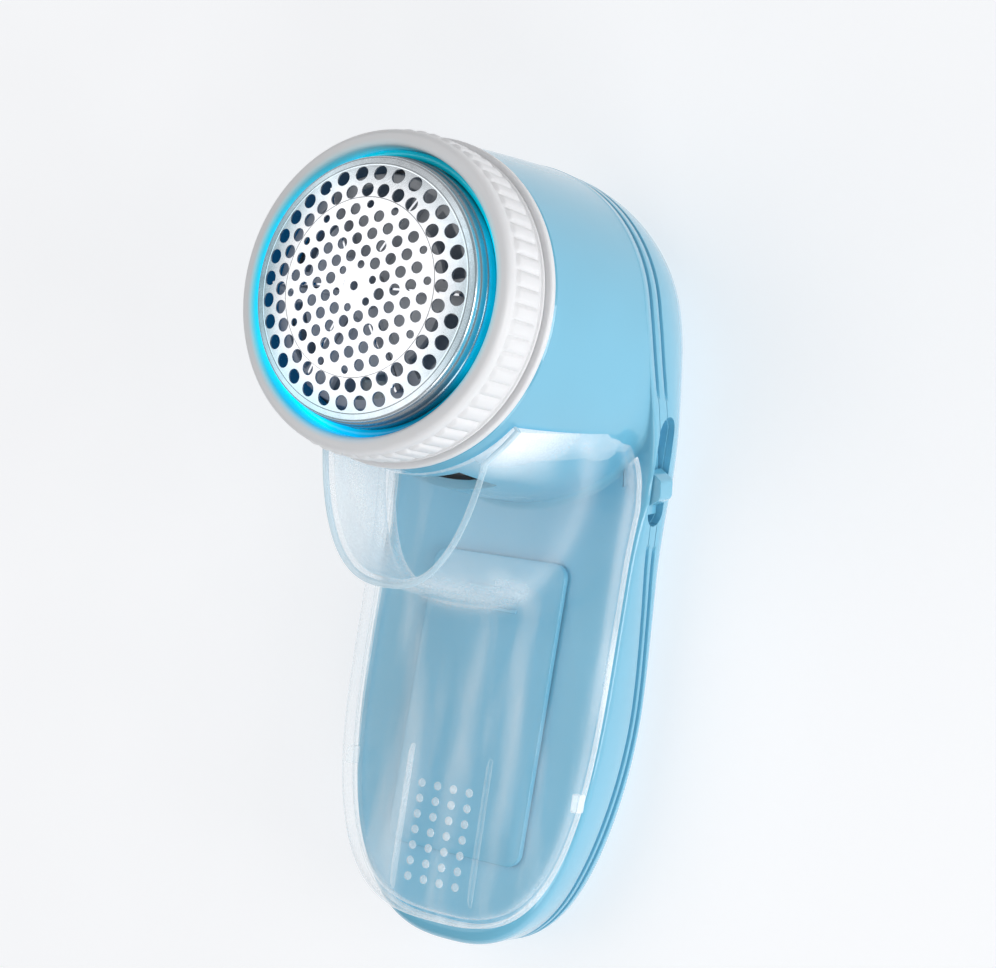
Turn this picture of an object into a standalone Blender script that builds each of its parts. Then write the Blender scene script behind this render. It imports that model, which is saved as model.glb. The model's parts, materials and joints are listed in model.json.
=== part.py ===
"""Fabric shaver with a barrel head, a perforated foil, a clear lint collector and two AA cells.

It lies on its back cover. The head's axis is +Z, out of the foil, and the handle runs towards -Y.
The origin is where that axis meets the flat of the back cover. All sizes are in millimetres, and
add_mesh turns them into metres.
"""
import math

import bmesh
import bpy
from mathutils import Matrix, Vector
from mathutils.geometry import delaunay_2d_cdt

MM = 0.001
GAP = 0.3                 # clearance between neighbouring pieces

# Body
HEAD_R = 32.8             # widest radius of the head, behind the barrel
HANDLE_W = 29.2           # half width of the handle
NECK_END_Y = -45.0        # where the head's sides have narrowed to the handle
TIP_START_Y = -60.0       # where the handle's sides start to close
TIP_Y = -120.8            # lowest point of the handle
TIP_POWER = 2.65          # squareness of the handle's tip
PANEL_Z = 15.6            # front panel of the handle, under the collector, at PANEL_Y
PANEL_Y = -40.0
PANEL_SLOPE = 0.05        # it rises towards the handle's tip
LEDGE = 2.6               # least height of the front shell's ledge over the seam
WALL = 1.8                # thickness of the blue shells
BARREL_TOP_Z = 59.3
BARREL_TOP_R = 30.2
BARREL_FOOT_Z = 28.0      # the barrel has its full radius below this
SEAM_HEAD_Z = 28.0        # the seam's height on the head
SEAM_HANDLE_Z = 7.2       # and at its lowest on the handle
SEAM_TIP_Z = 9.6          # and at the tip
BAND_HEAD = 3.4           # height of the seam band on the head
BAND_HANDLE = 2.2         # and on the handle
COLUMNS = 52              # columns of faces round the body

REAR_WALL = 1.6
REAR_CORNER = (7.5, 15.0)  # corner radius of the back, on the handle and on the head
REAR_SCREWS = ((-10.0, 10.0), (10.0, 10.0), (0.0, -108.0))
LEDGE_CORNER = (1.4, 2.8)  # rounding of the ledge's edge, on the sides and at the tip
SWEEP_START_Y = -23.0     # the ledge sweeps up into the barrel from here
SWEEP_LENGTH = 8.0

# Head, from the barrel outwards
COLLAR_Z = (59.7, 61.3)
COLLAR_R = 30.5
NECK_R = (21.6, 22.8)
RING_Z = (61.7, 73.0)
RING_R = (26.1, 29.7)
RIBS = 30                 # round the lock ring
FOIL_TOP_Z = 77.7         # crown of the foil
FOIL_SPHERE_R = 99.5      # radius of the foil's dome
FOIL_R = 23.2             # where the dome meets the rim
FOIL_SKIN = 0.4
CUTTER_R = 21.2
CUTTER_Z = (70.8, 72.0)
BLADES = 6

# Collector
COLLECTOR_WALL = 1.5
SNOUT_Z = 56.3            # front face of the snout
SNOUT_HALF_W = 19.5
SNOUT_BOTTOM_Y = -51.9
SNOUT_BASE_Z = 30.0
SNOUT_BASE_HALF_W = 25.4
FLARE_Y = -26.0           # the snout's sides flare towards the barrel above this
FLARE_TOP_Y = -19.0
TUB_Z = 24.4              # front face of the tub at PANEL_Y
TUB_SLOPE = 0.022
TUB_INSET = 0.8
TUB_TIP_Y = -116.8
TUB_TIP_POWER = 3.0
TUB_TOP_Y = -17.5         # the tub's shoulders curve in from SHOULDER_Y to here
SHOULDER_Y = -31.0
RIM_GAP = 0.35            # between the collector's rim and the panel

# Battery compartment
CELL_R = 7.25
CELL_LENGTH = 50.5
CELL_Z = 9.0
CELL_TOP_Y = -47.9
DOOR_HALF_W = 15.6
DOOR_Y = (-103.5, -43.7)
DOOR_THICK = 1.35

# Switch, in a slot that slants with the seam
SLOT_CENTRE = (-23.3, 12.7)   # y and z of the slot's middle
SLOT_SIZE = (21.6, 5.8)       # along the slot and across it
SLOT_SLOPE = 10.5             # degrees

BLUE = ("body_blue", (0.36, 0.66, 0.83), 0.22, 0.0)
WHITE = ("white_plastic", (0.88, 0.88, 0.90), 0.35, 0.0)
STEEL = ("steel", (0.72, 0.73, 0.75), 0.25, 1.0)
CLEAR = ("clear_plastic", (0.85, 0.93, 0.97), 0.08, 0.0)
GREY = ("grey_plastic", (0.55, 0.56, 0.58), 0.45, 0.0)
BLACK = ("black_plastic", (0.03, 0.03, 0.03), 0.5, 0.0)
GLOW = ("light_guide", (0.0, 0.75, 0.9), 0.2, 0.0)
BOARD = ("circuit_board", (0.02, 0.22, 0.08), 0.5, 0.0)
CELL = ("battery_wrap", (0.12, 0.13, 0.15), 0.35, 0.3)


# ---------------------------------------------------------------- helpers

def material(spec):
    name, colour, roughness, metallic = spec
    found = bpy.data.materials.get(name)
    if found:
        return found
    made = bpy.data.materials.new(name)
    made.use_nodes = True
    shader = made.node_tree.nodes["Principled BSDF"]
    shader.inputs["Base Color"].default_value = (*colour, 1.0)
    shader.inputs["Roughness"].default_value = roughness
    shader.inputs["Metallic"].default_value = metallic
    return made


def add_mesh(name, points, faces, spec, smooth=35.0):
    """Makes an object from points in millimetres, with its faces turned outwards."""
    mesh = bpy.data.meshes.new(name)
    mesh.from_pydata([tuple(c * MM for c in p) for p in points], [], faces)
    tidy = bmesh.new()
    tidy.from_mesh(mesh)
    bmesh.ops.recalc_face_normals(tidy, faces=tidy.faces)
    tidy.to_mesh(mesh)
    tidy.free()
    mesh.materials.append(material(spec))
    made = bpy.data.objects.new(name, mesh)
    bpy.context.collection.objects.link(made)
    if smooth:
        mesh.shade_smooth()
        mesh.set_sharp_from_angle(angle=math.radians(smooth))
    return made


def skin(name, outer, inner, spec, cap=False):
    """A wall between two stacks of closed rows of points.

    With cap, the last row of each stack is filled across; otherwise the two stacks are joined there.
    """
    rows = outer + inner[::-1]
    count = len(outer[0])
    points = [p for row in rows for p in row]
    faces = []
    for k in range(len(rows)):
        if cap and k == len(outer) - 1:
            continue
        here = k * count
        there = (k + 1) % len(rows) * count
        for i in range(count):
            j = (i + 1) % count
            faces.append((here + i, here + j, there + j, there + i))
    if cap:
        top = (len(outer) - 1) * count
        faces.append(tuple(range(top, top + count)))
        faces.append(tuple(range(top + count, top + 2 * count)))
    return add_mesh(name, points, faces, spec)


def turned(name, profile, spec, steps=36, centre=(0.0, 0.0), smooth=35.0):
    """Spins a closed profile of (radius, height) points about an upright axis."""
    points = []
    start = []
    for r, z in profile:
        start.append(len(points))
        if r == 0.0:
            points.append((centre[0], centre[1], z))
            continue
        for i in range(steps):
            a = 2 * math.pi * i / steps
            points.append((centre[0] + r * math.cos(a), centre[1] + r * math.sin(a), z))
    faces = []
    for k in range(len(profile)):
        m = (k + 1) % len(profile)
        if profile[k][0] == 0.0 and profile[m][0] == 0.0:
            continue
        for i in range(steps):
            j = (i + 1) % steps
            if profile[k][0] == 0.0:
                faces.append((start[k], start[m] + j, start[m] + i))
            elif profile[m][0] == 0.0:
                faces.append((start[k] + i, start[k] + j, start[m]))
            else:
                faces.append((start[k] + i, start[k] + j, start[m] + j, start[m] + i))
    return add_mesh(name, points, faces, spec, smooth)


def cylinder(name, centre, r, z, spec, steps=32):
    return turned(name, [(0.0, z[0]), (r, z[0]), (r, z[1]), (0.0, z[1])], spec, steps, centre)


def box(name, x, y, z, spec, bevel=0.0):
    points = [(a, b, c) for a in x for b in y for c in z]
    faces = [(0, 1, 3, 2), (4, 6, 7, 5), (0, 4, 5, 1), (2, 3, 7, 6), (0, 2, 6, 4), (1, 5, 7, 3)]
    made = add_mesh(name, points, faces, spec)
    if bevel:
        edge = made.modifiers.new("edges", "BEVEL")
        edge.width = bevel * MM
        edge.segments = 1
    return made


def prism(name, outline, low, high, spec, axis="z"):
    """Pulls a flat outline from low to high along an axis."""
    def place(p, h):
        return {"z": (p[0], p[1], h), "x": (h, p[0], p[1])}[axis]
    n = len(outline)
    points = [place(p, low) for p in outline] + [place(p, high) for p in outline]
    faces = [tuple(range(n)), tuple(range(n, 2 * n))]
    faces += [(i, (i + 1) % n, n + (i + 1) % n, n + i) for i in range(n)]
    return add_mesh(name, points, faces, spec)


def joined(name, pieces):
    """One object from several that don't touch, for use as a cutter."""
    whole = bmesh.new()
    for piece in pieces:
        whole.from_mesh(piece.data)
        bpy.data.objects.remove(piece)
    mesh = bpy.data.meshes.new(name)
    whole.to_mesh(mesh)
    whole.free()
    made = bpy.data.objects.new(name, mesh)
    bpy.context.collection.objects.link(made)
    return made


def boolean(target, tool, operation="DIFFERENCE"):
    """Cuts, adds or keeps what the tool covers. The tool stays as a hidden guide."""
    tool.name = f"guide_{target.name}_{len(target.modifiers)}"
    tool.hide_render = True
    tool.display_type = "WIRE"
    step = target.modifiers.new(tool.name, "BOOLEAN")
    step.operation = operation
    step.solver = "EXACT"
    step.object = tool


def lerp(a, b, t):
    return a + (b - a) * t


def ease(t):
    t = min(max(t, 0.0), 1.0)
    return t * t * (3 - 2 * t)


def at_height(flat, z):
    """Rows are flat lists of (x, y); z is one height or one for each point."""
    heights = z if isinstance(z, list) else [z] * len(flat)
    return [(x, y, h) for (x, y), h in zip(flat, heights)]


def inset(flat, distance):
    """Moves each point of a clockwise outline inwards, square to the outline."""
    n = len(flat)
    moved = []
    for i, (x, y) in enumerate(flat):
        before, after = flat[(i - 1) % n], flat[(i + 1) % n]
        along = Vector((after[0] - before[0], after[1] - before[1])).normalized()
        step = distance[i] if isinstance(distance, list) else distance
        moved.append((x + along.y * step, y - along.x * step))
    return moved


def between(flat_a, flat_b, amount):
    """Points part of the way from one row to another; amount in millimetres from the first."""
    row = []
    for i, (a, b) in enumerate(zip(flat_a, flat_b)):
        gap = math.hypot(b[0] - a[0], b[1] - a[1])
        step = amount[i] if isinstance(amount, list) else amount
        t = step / gap if gap > 1e-6 else 0.0
        row.append((lerp(a[0], b[0], t), lerp(a[1], b[1], t)))
    return row


def distances(flat_a, flat_b):
    return [math.hypot(b[0] - a[0], b[1] - a[1]) for a, b in zip(flat_a, flat_b)]


# ---------------------------------------------------------------- the body's outline and seam

def half_width(y, handle_w=HANDLE_W, tip_y=TIP_Y, power=TIP_POWER):
    """Half of the body's width at y, below the head's axis."""
    if y > TIP_START_Y:
        return lerp(handle_w, HEAD_R, ease((y - NECK_END_Y) / -NECK_END_Y))
    t = min((TIP_START_Y - y) / (TIP_START_Y - tip_y), 1.0)
    return handle_w * (1 - t ** power) ** (1 / power)


def body_outline(columns=COLUMNS):
    """Clockwise from the top of the head, evenly spaced along the curve and symmetric about x = 0."""
    half = [(HEAD_R * math.sin(a), HEAD_R * math.cos(a)) for a in [math.pi / 2 * i / 90 for i in range(90)]]
    half += [(half_width(-0.5 * i), -0.5 * i) for i in range(int(-TIP_START_Y * 2))]
    for i in range(401):
        y = lerp(TIP_START_Y, TIP_Y, math.sin(math.pi / 2 * i / 400))
        half.append((half_width(y), y))
    lengths = [0.0]
    for a, b in zip(half, half[1:]):
        lengths.append(lengths[-1] + math.hypot(b[0] - a[0], b[1] - a[1]))
    steps = columns // 2
    right = []
    k = 0
    for i in range(steps + 1):
        want = lengths[-1] * i / steps
        while k < len(lengths) - 2 and lengths[k + 1] < want:
            k += 1
        t = (want - lengths[k]) / (lengths[k + 1] - lengths[k])
        right.append((lerp(half[k][0], half[k + 1][0], t), lerp(half[k][1], half[k + 1][1], t)))
    right[0] = (0.0, HEAD_R)
    right[-1] = (0.0, TIP_Y)
    return right + [(-x, y) for x, y in right[-2:0:-1]]


def seam_z(y):
    """Height of the front edge of the seam: level on the head, then back along the handle."""
    if y > -28.0:
        return lerp(13.2, SEAM_HEAD_Z, ease((y + 28.0) / 36.0))
    if y > -72.0:
        return lerp(SEAM_HANDLE_Z, 13.2, ((y + 72.0) / 44.0) ** 1.6)
    return lerp(SEAM_HANDLE_Z, SEAM_TIP_Z, ease((-72.0 - y) / 34.0))


def band_height(y):
    return lerp(BAND_HANDLE, BAND_HEAD, ease((y + 60.0) / 60.0))


def panel_z(y):
    return PANEL_Z - PANEL_SLOPE * (y - PANEL_Y)


def ledge_z(y, seam_y=None):
    """Height of the front shell's ledge at y, never close to the seam beside it."""
    return max(panel_z(y), seam_z(y if seam_y is None else seam_y) + LEDGE)


def barrel_r(z):
    t = min(max((z - BARREL_FOOT_Z) / (BARREL_TOP_Z - BARREL_FOOT_Z), 0.0), 1.0)
    return lerp(HEAD_R, BARREL_TOP_R, t)


def circle_row(flat, radius):
    """The points of a circle about the head's axis that lie in the same directions as the outline's."""
    row = []
    for i, (x, y) in enumerate(flat):
        r = radius[i] if isinstance(radius, list) else radius
        size = math.hypot(x, y)
        row.append((x * r / size, y * r / size))
    return row


# ---------------------------------------------------------------- blue body

def front_rows(off):
    """Rows of the front shell's surface, from the seam to the barrel's mouth; off is the depth inside it."""
    outline = body_outline()
    edge = inset(outline, off) if off else outline
    seam = [seam_z(y) + GAP / 2 for _, y in outline]
    least = [z + 0.4 for z in seam]
    ledge = [max(ledge_z(y) - off, low) for (_, y), low in zip(outline, least)]
    foot = circle_row(outline, [barrel_r(z) - off for z in ledge])
    inner = [max(ledge_z(f[1], p[1]) - off, low) for f, p, low in zip(foot, outline, least)]
    room = distances(edge, foot)
    drop = [(z - s) / 2 for z, s in zip(ledge, seam)]
    round_off = [lerp(*LEDGE_CORNER, ease((-95.0 - y) / 20.0)) for _, y in outline]
    corner = [min(c, w / 3, d) for c, w, d in zip(round_off, room, drop)]
    sweep = [ease((y - SWEEP_START_Y) / SWEEP_LENGTH) for _, y in outline]
    fillet = [lerp(min(1.5, w / 3), w * 0.66, t) for w, t in zip(room, sweep)]
    rise = [lerp(1.5, SWEEP_LENGTH, t) for t in sweep]
    rows = [at_height(edge, seam)]
    rows.append(at_height(edge, [z - max(c, d * 0.4) for z, c, d in zip(ledge, corner, drop)]))
    rows.append(at_height(between(edge, foot, [0.3 * c for c in corner]),
                          [z - 0.3 * max(c, d * 0.4) for z, c, d in zip(ledge, corner, drop)]))
    rows.append(at_height(between(edge, foot, corner), ledge))
    rows.append(at_height(between(foot, edge, fillet), [z + 0.02 for z in inner]))
    rows.append(at_height(between(foot, edge, [0.3 * f for f in fillet]),
                          [z + 0.3 * h for z, h in zip(inner, rise)]))
    start = [z + h for z, h in zip(inner, rise)]
    for t in (0.0, 0.35, 0.7, 1.0):
        level = [lerp(z, BARREL_TOP_Z, t) for z in start]
        rows.append(at_height(circle_row(outline, [barrel_r(z) - off for z in level]), level))
    return rows


def front_shell():
    shell = skin("front_shell", front_rows(0.0), front_rows(WALL), BLUE)
    door = box("cut", (-14.8, 14.8), (-102.4, -44.7), (PANEL_Z - 3, PANEL_Z + 6), BLUE)
    boolean(shell, door)
    window = box("cut", (-12.5, 12.5), (-38.0, -20.0), (37.5, 54.5), BLUE)
    boolean(shell, window)
    boolean(shell, switch_slot())
    return shell


def switch_slot():
    return slanted_box("cut", (24.0, 36.0), 0.0)


def slanted_box(name, x, grow, along=None, across=None):
    """A box along the switch's slot. along and across are spans from the slot's middle."""
    long_side, short_side = SLOT_SIZE
    along = along or (-long_side / 2 - grow, long_side / 2 + grow)
    across = across or (-short_side / 2 - grow, short_side / 2 + grow)
    a = math.radians(SLOT_SLOPE)
    outline = []
    for u, v in ((0, 0), (1, 0), (1, 1), (0, 1)):
        outline.append((SLOT_CENTRE[0] + along[u] * math.cos(a) - across[v] * math.sin(a),
                        SLOT_CENTRE[1] + along[u] * math.sin(a) + across[v] * math.cos(a)))
    return prism(name, outline, x[0], x[1], BLUE, "x")


def seam_band():
    outline = body_outline()
    edge = inset(outline, WALL)
    high = [seam_z(y) - GAP / 2 for _, y in outline]
    low = [z - band_height(y) + GAP for z, (_, y) in zip(high, outline)]
    band = skin("seam_band", [at_height(outline, high), at_height(outline, low)],
                [at_height(edge, high), at_height(edge, low)], BLUE)
    boolean(band, switch_slot())
    return band


def rear_rows(off):
    """Rows of the rear shell, from the seam band round to the flat of the back."""
    outline = body_outline()
    edge = inset(outline, off) if off else outline
    rim = [seam_z(y) - band_height(y) - GAP / 2 for _, y in outline]
    reach = [lerp(*REAR_CORNER, ease((y - PANEL_Y) / 50.0)) for _, y in outline]
    rows = [at_height(edge, rim)]
    for step in (12, 32, 52, 72, 90):
        a = math.radians(step)
        flat = inset(edge, [r * (1 - math.cos(a)) for r in reach])
        rows.append(at_height(flat, [off + (z - off) * (1 - math.sin(a)) for z in rim]))
    return rows


def rear_shell():
    shell = skin("rear_shell", rear_rows(0.0), rear_rows(REAR_WALL), BLUE, cap=True)
    boolean(shell, switch_slot())
    bosses = [cylinder(f"boss_{i}", at, 3.6, (0.8, 6.4), BLUE, 20) for i, at in enumerate(REAR_SCREWS)]
    boolean(shell, joined("bosses", bosses), "UNION")
    holes = [turned(f"hole_{i}", [(0.0, -1.0), (2.9, -1.0), (2.9, 2.4), (1.6, 2.4), (1.6, 8.0), (0.0, 8.0)],
                    BLUE, 20, at) for i, at in enumerate(REAR_SCREWS)]
    boolean(shell, joined("holes", holes))
    return shell


def case_screws():
    for i, at in enumerate(REAR_SCREWS):
        profile = [(0.0, 0.8), (2.5, 0.8), (2.5, 2.0), (1.3, 2.0), (1.3, 14.0), (0.0, 14.4)]
        turned(f"case_screw_{i + 1}", profile, STEEL, 16, at)


# ---------------------------------------------------------------- head

def foil_z(r):
    return FOIL_TOP_Z - r * r / (2 * FOIL_SPHERE_R)


def foil_holes():
    """(x, y, radius) of each hole: a hexagonal field inside two rings."""
    pitch = 3.21
    lattice = []
    for i in range(-6, 7):
        for j in range(-6, 7):
            lattice.append((pitch * (i + j / 2), pitch * j * math.sqrt(3) / 2))
    turn = math.radians(18.0)
    holes = [(0.0, 0.0, 0.85)]
    for x, y in lattice:
        r = math.hypot(x, y)
        if r < 0.1 or r > pitch * 4.6:
            continue
        radius = 0.76 if r < pitch * 1.1 or r > pitch * 4.45 else 1.08
        if r < pitch * 1.1:
            x, y = x * 3.93 / r, y * 3.93 / r
        holes.append((x * math.cos(turn) - y * math.sin(turn), x * math.sin(turn) + y * math.cos(turn), radius))
    for ring_r, radius, phase in ((17.37, 1.26, 14.9), (20.5, 1.35, 9.27)):
        for i in range(32):
            a = math.radians(phase + 11.25 * i)
            holes.append((ring_r * math.cos(a), ring_r * math.sin(a), radius))
    return holes


def foil_cap():
    """The domed steel foil with its pierced holes, side wall and flange, as one skin."""
    edge_steps = 40
    edge = [(FOIL_R * math.cos(2 * math.pi * i / edge_steps), FOIL_R * math.sin(2 * math.pi * i / edge_steps))
            for i in range(edge_steps)]
    flat = [Vector(p) for p in edge]
    loops = [list(range(edge_steps))]
    holes = foil_holes()
    for x, y, r in holes:
        first = len(flat)
        sides = 5 if r > 1.2 else 4
        for k in range(sides):
            a = 2 * math.pi * (k + 0.5) / sides
            flat.append(Vector((x + r * math.cos(a), y + r * math.sin(a))))
        loops.append(list(range(first, first + sides)))
    edges = [(loop[i], loop[(i + 1) % len(loop)]) for loop in loops for i in range(len(loop))]
    found = delaunay_2d_cdt(flat, edges, [], 0, 1e-6)
    spots, triangles = found[0], found[2]

    def pierced(tri):
        centre = (spots[tri[0]] + spots[tri[1]] + spots[tri[2]]) / 3
        return any(math.hypot(centre.x - x, centre.y - y) < r * 0.7 for x, y, r in holes)

    kept = [tuple(t) for t in triangles if not pierced(t)]
    n = len(spots)
    points = [(p.x, p.y, foil_z(p.length)) for p in spots]
    points += [(p.x, p.y, foil_z(p.length) - FOIL_SKIN) for p in spots]
    faces = kept + [tuple(n + i for i in t) for t in kept]
    for loop in loops[1:]:
        for i in range(len(loop)):
            a, b = loop[i], loop[(i + 1) % len(loop)]
            faces.append((a, b, n + b, n + a))
    rim = [(23.85, 74.5), (23.85, 66.6), (25.0, 66.6), (25.0, 65.4), (23.3, 65.4), (23.3, 74.0)]
    rows = [list(range(edge_steps))]
    for r, z in rim:
        rows.append(list(range(len(points), len(points) + edge_steps)))
        points += [(x * r / FOIL_R, y * r / FOIL_R, z) for x, y in edge]
    rows.append([n + i for i in range(edge_steps)])
    for upper, lower in zip(rows, rows[1:]):
        for i in range(edge_steps):
            j = (i + 1) % edge_steps
            faces.append((upper[i], upper[j], lower[j], lower[i]))
    return add_mesh("foil_cap", points, faces, STEEL)


def lock_ring():
    """The white ring that holds the foil, with ribs for the fingers."""
    low, high = RING_Z
    inner, outer = RING_R
    valley = outer - 0.5
    profile = [(inner, high), (outer - 1.4, high), (outer - 0.7, high - 0.4), (outer - 0.4, high - 1.4)]
    ribbed = [(outer, high - 2.2), (outer, low + 1.0)]
    lower = [(outer - 0.5, low), (25.7, low), (25.7, 67.0), (24.5, 67.0), (24.5, 68.5), (inner, 68.5)]
    steps = RIBS * 2
    rows = []
    for r, z in profile + ribbed + lower:
        row = []
        for i in range(steps):
            a = 2 * math.pi * i / steps
            use = valley if (r, z) in ribbed and i % 2 else r
            row.append((use * math.cos(a), use * math.sin(a), z))
        rows.append(row)
    return skin("lock_ring", rows[:6], rows[:5:-1], WHITE)


def light_ring():
    return turned("light_ring", [(24.7, 68.8), (25.8, 68.8), (25.8, 70.2), (24.7, 70.6)], GLOW)


def head_collar():
    low, high = COLLAR_Z
    profile = [(4.0, low), (COLLAR_R - 0.4, low), (COLLAR_R, low + 0.4), (COLLAR_R, high - 0.3),
               (COLLAR_R - 0.3, high), (NECK_R[1], high), (NECK_R[1], 65.0), (NECK_R[0], 65.0),
               (NECK_R[0], high), (4.0, high)]
    collar = turned("head_collar", profile, WHITE)
    boolean(collar, box("cut", (-8.0, 8.0), (-19.6, -13.6), (low - 1, high + 1), WHITE))
    return collar


def glow_leds():
    for i, side in enumerate((-1, 1)):
        profile = [(0.0, 61.6), (1.0, 61.6), (1.0, 63.2), (0.6, 64.0), (0.0, 64.2)]
        turned(f"glow_led_{i + 1}", profile, CLEAR, 12, (side * 24.25, 0.0))


def cutter_carrier():
    low, high = CUTTER_Z
    profile = [(0.0, high + 0.9), (5.0, high + 0.7), (13.5, high), (CUTTER_R, high), (CUTTER_R, low), (4.4, low),
               (4.4, 66.3), (2.9, 66.3), (2.9, low), (0.0, low)]
    carrier = turned("cutter_carrier", profile, WHITE)
    windows = []
    for k in range(BLADES):
        mid = 60.0 * k + 30.0
        arc = [math.radians(mid - 20 + 8 * i) for i in range(6)]
        outline = [(19.2 * math.cos(a), 19.2 * math.sin(a)) for a in arc]
        outline += [(15.0 * math.cos(a), 15.0 * math.sin(a)) for a in arc[::-1]]
        windows.append(prism(f"window_{k}", outline, low - 1, high + 1, WHITE))
    boolean(carrier, joined("windows", windows))
    return carrier


def cutter_blades():
    """Each blade stands on the carrier, and its top edge follows the foil's dome."""
    thick = 0.5
    base = CUTTER_Z[1] + GAP
    under = 0.75
    for k in range(BLADES):
        side = [(6.0, base + 0.7), (13.5, base), (20.2, base)]
        side += [(r, foil_z(r) - under) for r in (20.2, 13.0, 6.0)]
        a = math.radians(60.0 * k)
        points = []
        for half in (-thick / 2, thick / 2):
            points += [(r * math.cos(a) - half * math.sin(a), r * math.sin(a) + half * math.cos(a), z)
                       for r, z in side]
        n = len(side)
        faces = [tuple(range(n)), tuple(range(n, 2 * n))]
        faces += [(i, (i + 1) % n, n + (i + 1) % n, n + i) for i in range(n)]
        add_mesh(f"cutter_blade_{k + 1}", points, faces, STEEL)


def hub_cap():
    base = CUTTER_Z[1] + 1.2
    turned("hub_cap", [(0.0, base), (3.4, base), (3.4, base + 1.4), (2.2, base + 2.6), (0.0, base + 2.8)], GREY, 24)


def coil(name, centre, radius, wire, start, end, turns, spec, axis="z"):
    """A round wire wound on a cylinder, with flat ends."""
    per_turn, sides = 10, 5
    count = int(per_turn * turns) + 1
    points = []
    for i in range(count):
        t = i / (count - 1)
        a = 2 * math.pi * turns * t
        h = lerp(start + wire, end - wire, t)
        for s in range(sides):
            b = 2 * math.pi * s / sides
            r = radius + wire * math.cos(b)
            u, v, w = r * math.cos(a), r * math.sin(a), h + wire * math.sin(b)
            if axis == "z":
                points.append((centre[0] + u, centre[1] + v, w))
            else:
                points.append((centre[0] + u, w, centre[1] + v))
    faces = [tuple(range(sides)), tuple(range((count - 1) * sides, count * sides))]
    for i in range(count - 1):
        for s in range(sides):
            e = (s + 1) % sides
            faces.append((i * sides + s, i * sides + e, (i + 1) * sides + e, (i + 1) * sides + s))
    return add_mesh(name, points, faces, spec, 60.0)


def drive_train():
    turned("motor_can", [(0.0, 25.0), (11.4, 25.0), (12.2, 25.8), (12.2, 55.3), (11.4, 56.1), (0.0, 56.1)], STEEL, 40)
    turned("motor_end_cap", [(0.0, 22.4), (3.0, 22.4), (3.0, 23.2), (11.2, 23.2), (11.2, 24.7), (0.0, 24.7)],
           WHITE, 32)
    turned("motor_mount", [(3.6, 56.4), (13.2, 56.4), (13.2, 59.3), (3.6, 59.3)], GREY, 40)
    cylinder("motor_shaft", (0.0, 0.0), 1.0, (56.4, 69.2), STEEL, 24)
    turned("drive_dog", [(1.08, 62.0), (5.0, 62.0), (5.0, 63.0), (2.6, 63.0), (2.6, 69.4), (1.08, 69.4)], GREY, 24)
    coil("pressure_spring", (0.0, 0.0), 3.65, 0.35, 63.15, 66.15, 2.5, STEEL)


def lint_chute():
    """A scoop behind the cutter that turns the lint down through the window in the barrel."""
    outer = [(-13.5, 59.3), (-13.5, 50.0), (-19.0, 39.6), (-29.0, 34.4), (-29.0, 59.3)]
    inner = [(-14.7, 60.0), (-14.7, 50.4), (-20.0, 41.0), (-31.0, 35.6), (-31.0, 60.0)]
    chute = prism("lint_chute", outer, -14.2, 14.2, WHITE, "x")
    boolean(chute, prism("cut", inner, -13.0, 13.0, WHITE, "x"))
    boolean(chute, cylinder("keep", (0.0, 0.0), 28.0, (30.0, 62.0), WHITE, 64), "INTERSECT")
    return chute


# ---------------------------------------------------------------- collector

def ray_to_outline(flat, centre, angle):
    """How far a ray from the centre goes before it meets a closed outline."""
    dx, dy = math.cos(angle), math.sin(angle)
    best = 0.0
    for a, b in zip(flat, flat[1:] + flat[:1]):
        ex, ey = b[0] - a[0], b[1] - a[1]
        ox, oy = a[0] - centre[0], a[1] - centre[1]
        cross = dx * ey - dy * ex
        if abs(cross) < 1e-9:
            continue
        far = (ox * ey - oy * ex) / cross
        t = (ox * dy - oy * dx) / cross
        if far > 0 and -1e-6 <= t <= 1 + 1e-6:
            best = max(best, far)
    return best


def squared_oval(half_w, centre_y, height, power):
    """A closed outline between an oval and a rectangle."""
    points = []
    for i in range(144):
        a = 2 * math.pi * i / 144
        c, s = math.cos(a), math.sin(a)
        points.append((half_w * math.copysign(abs(c) ** (2 / power), c),
                       centre_y + height * math.copysign(abs(s) ** (2 / power), s)))
    return points


def snout_outline(half_w, centre_y, height, power, flare):
    """The U of the snout, whose sides flare out towards the barrel."""
    points = squared_oval(half_w, centre_y, height, power)
    top = [(x, min(y, FLARE_TOP_Y + 8.0)) for x, y in points if y > FLARE_TOP_Y]
    body = [(x, y) for x, y in points if y <= FLARE_TOP_Y]
    widened = []
    for x, y in body:
        t = max(0.0, (y - FLARE_Y) / (FLARE_TOP_Y - FLARE_Y))
        widened.append((x + math.copysign(flare * t * t, x), y))
    top = [(x + math.copysign(flare, x) if abs(x) > half_w * 0.5 else x, y) for x, y in top]
    return top + widened


def tub_outline():
    """The tub follows the body a little inside it, with rounded shoulders beside the barrel."""
    wide = HANDLE_W - TUB_INSET
    right = []
    for i in range(19):
        a = math.pi / 2 * (1 - i / 18)
        right.append((21.5 + (wide + 0.6 - 21.5) * math.cos(a),
                      SHOULDER_Y + (TUB_TOP_Y - SHOULDER_Y) * math.sin(a)))
    right += [(lerp(wide + 0.6, wide, (SHOULDER_Y - y) / 14.0), y) for y in range(-32, -45, -1)]
    for i in range(97):
        y = lerp(TIP_START_Y, TUB_TIP_Y, math.sin(math.pi / 2 * i / 96))
        right.append((half_width(y, wide, TUB_TIP_Y, TUB_TIP_POWER), y))
    return right + [(-x, y) for x, y in right[::-1]]


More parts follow.
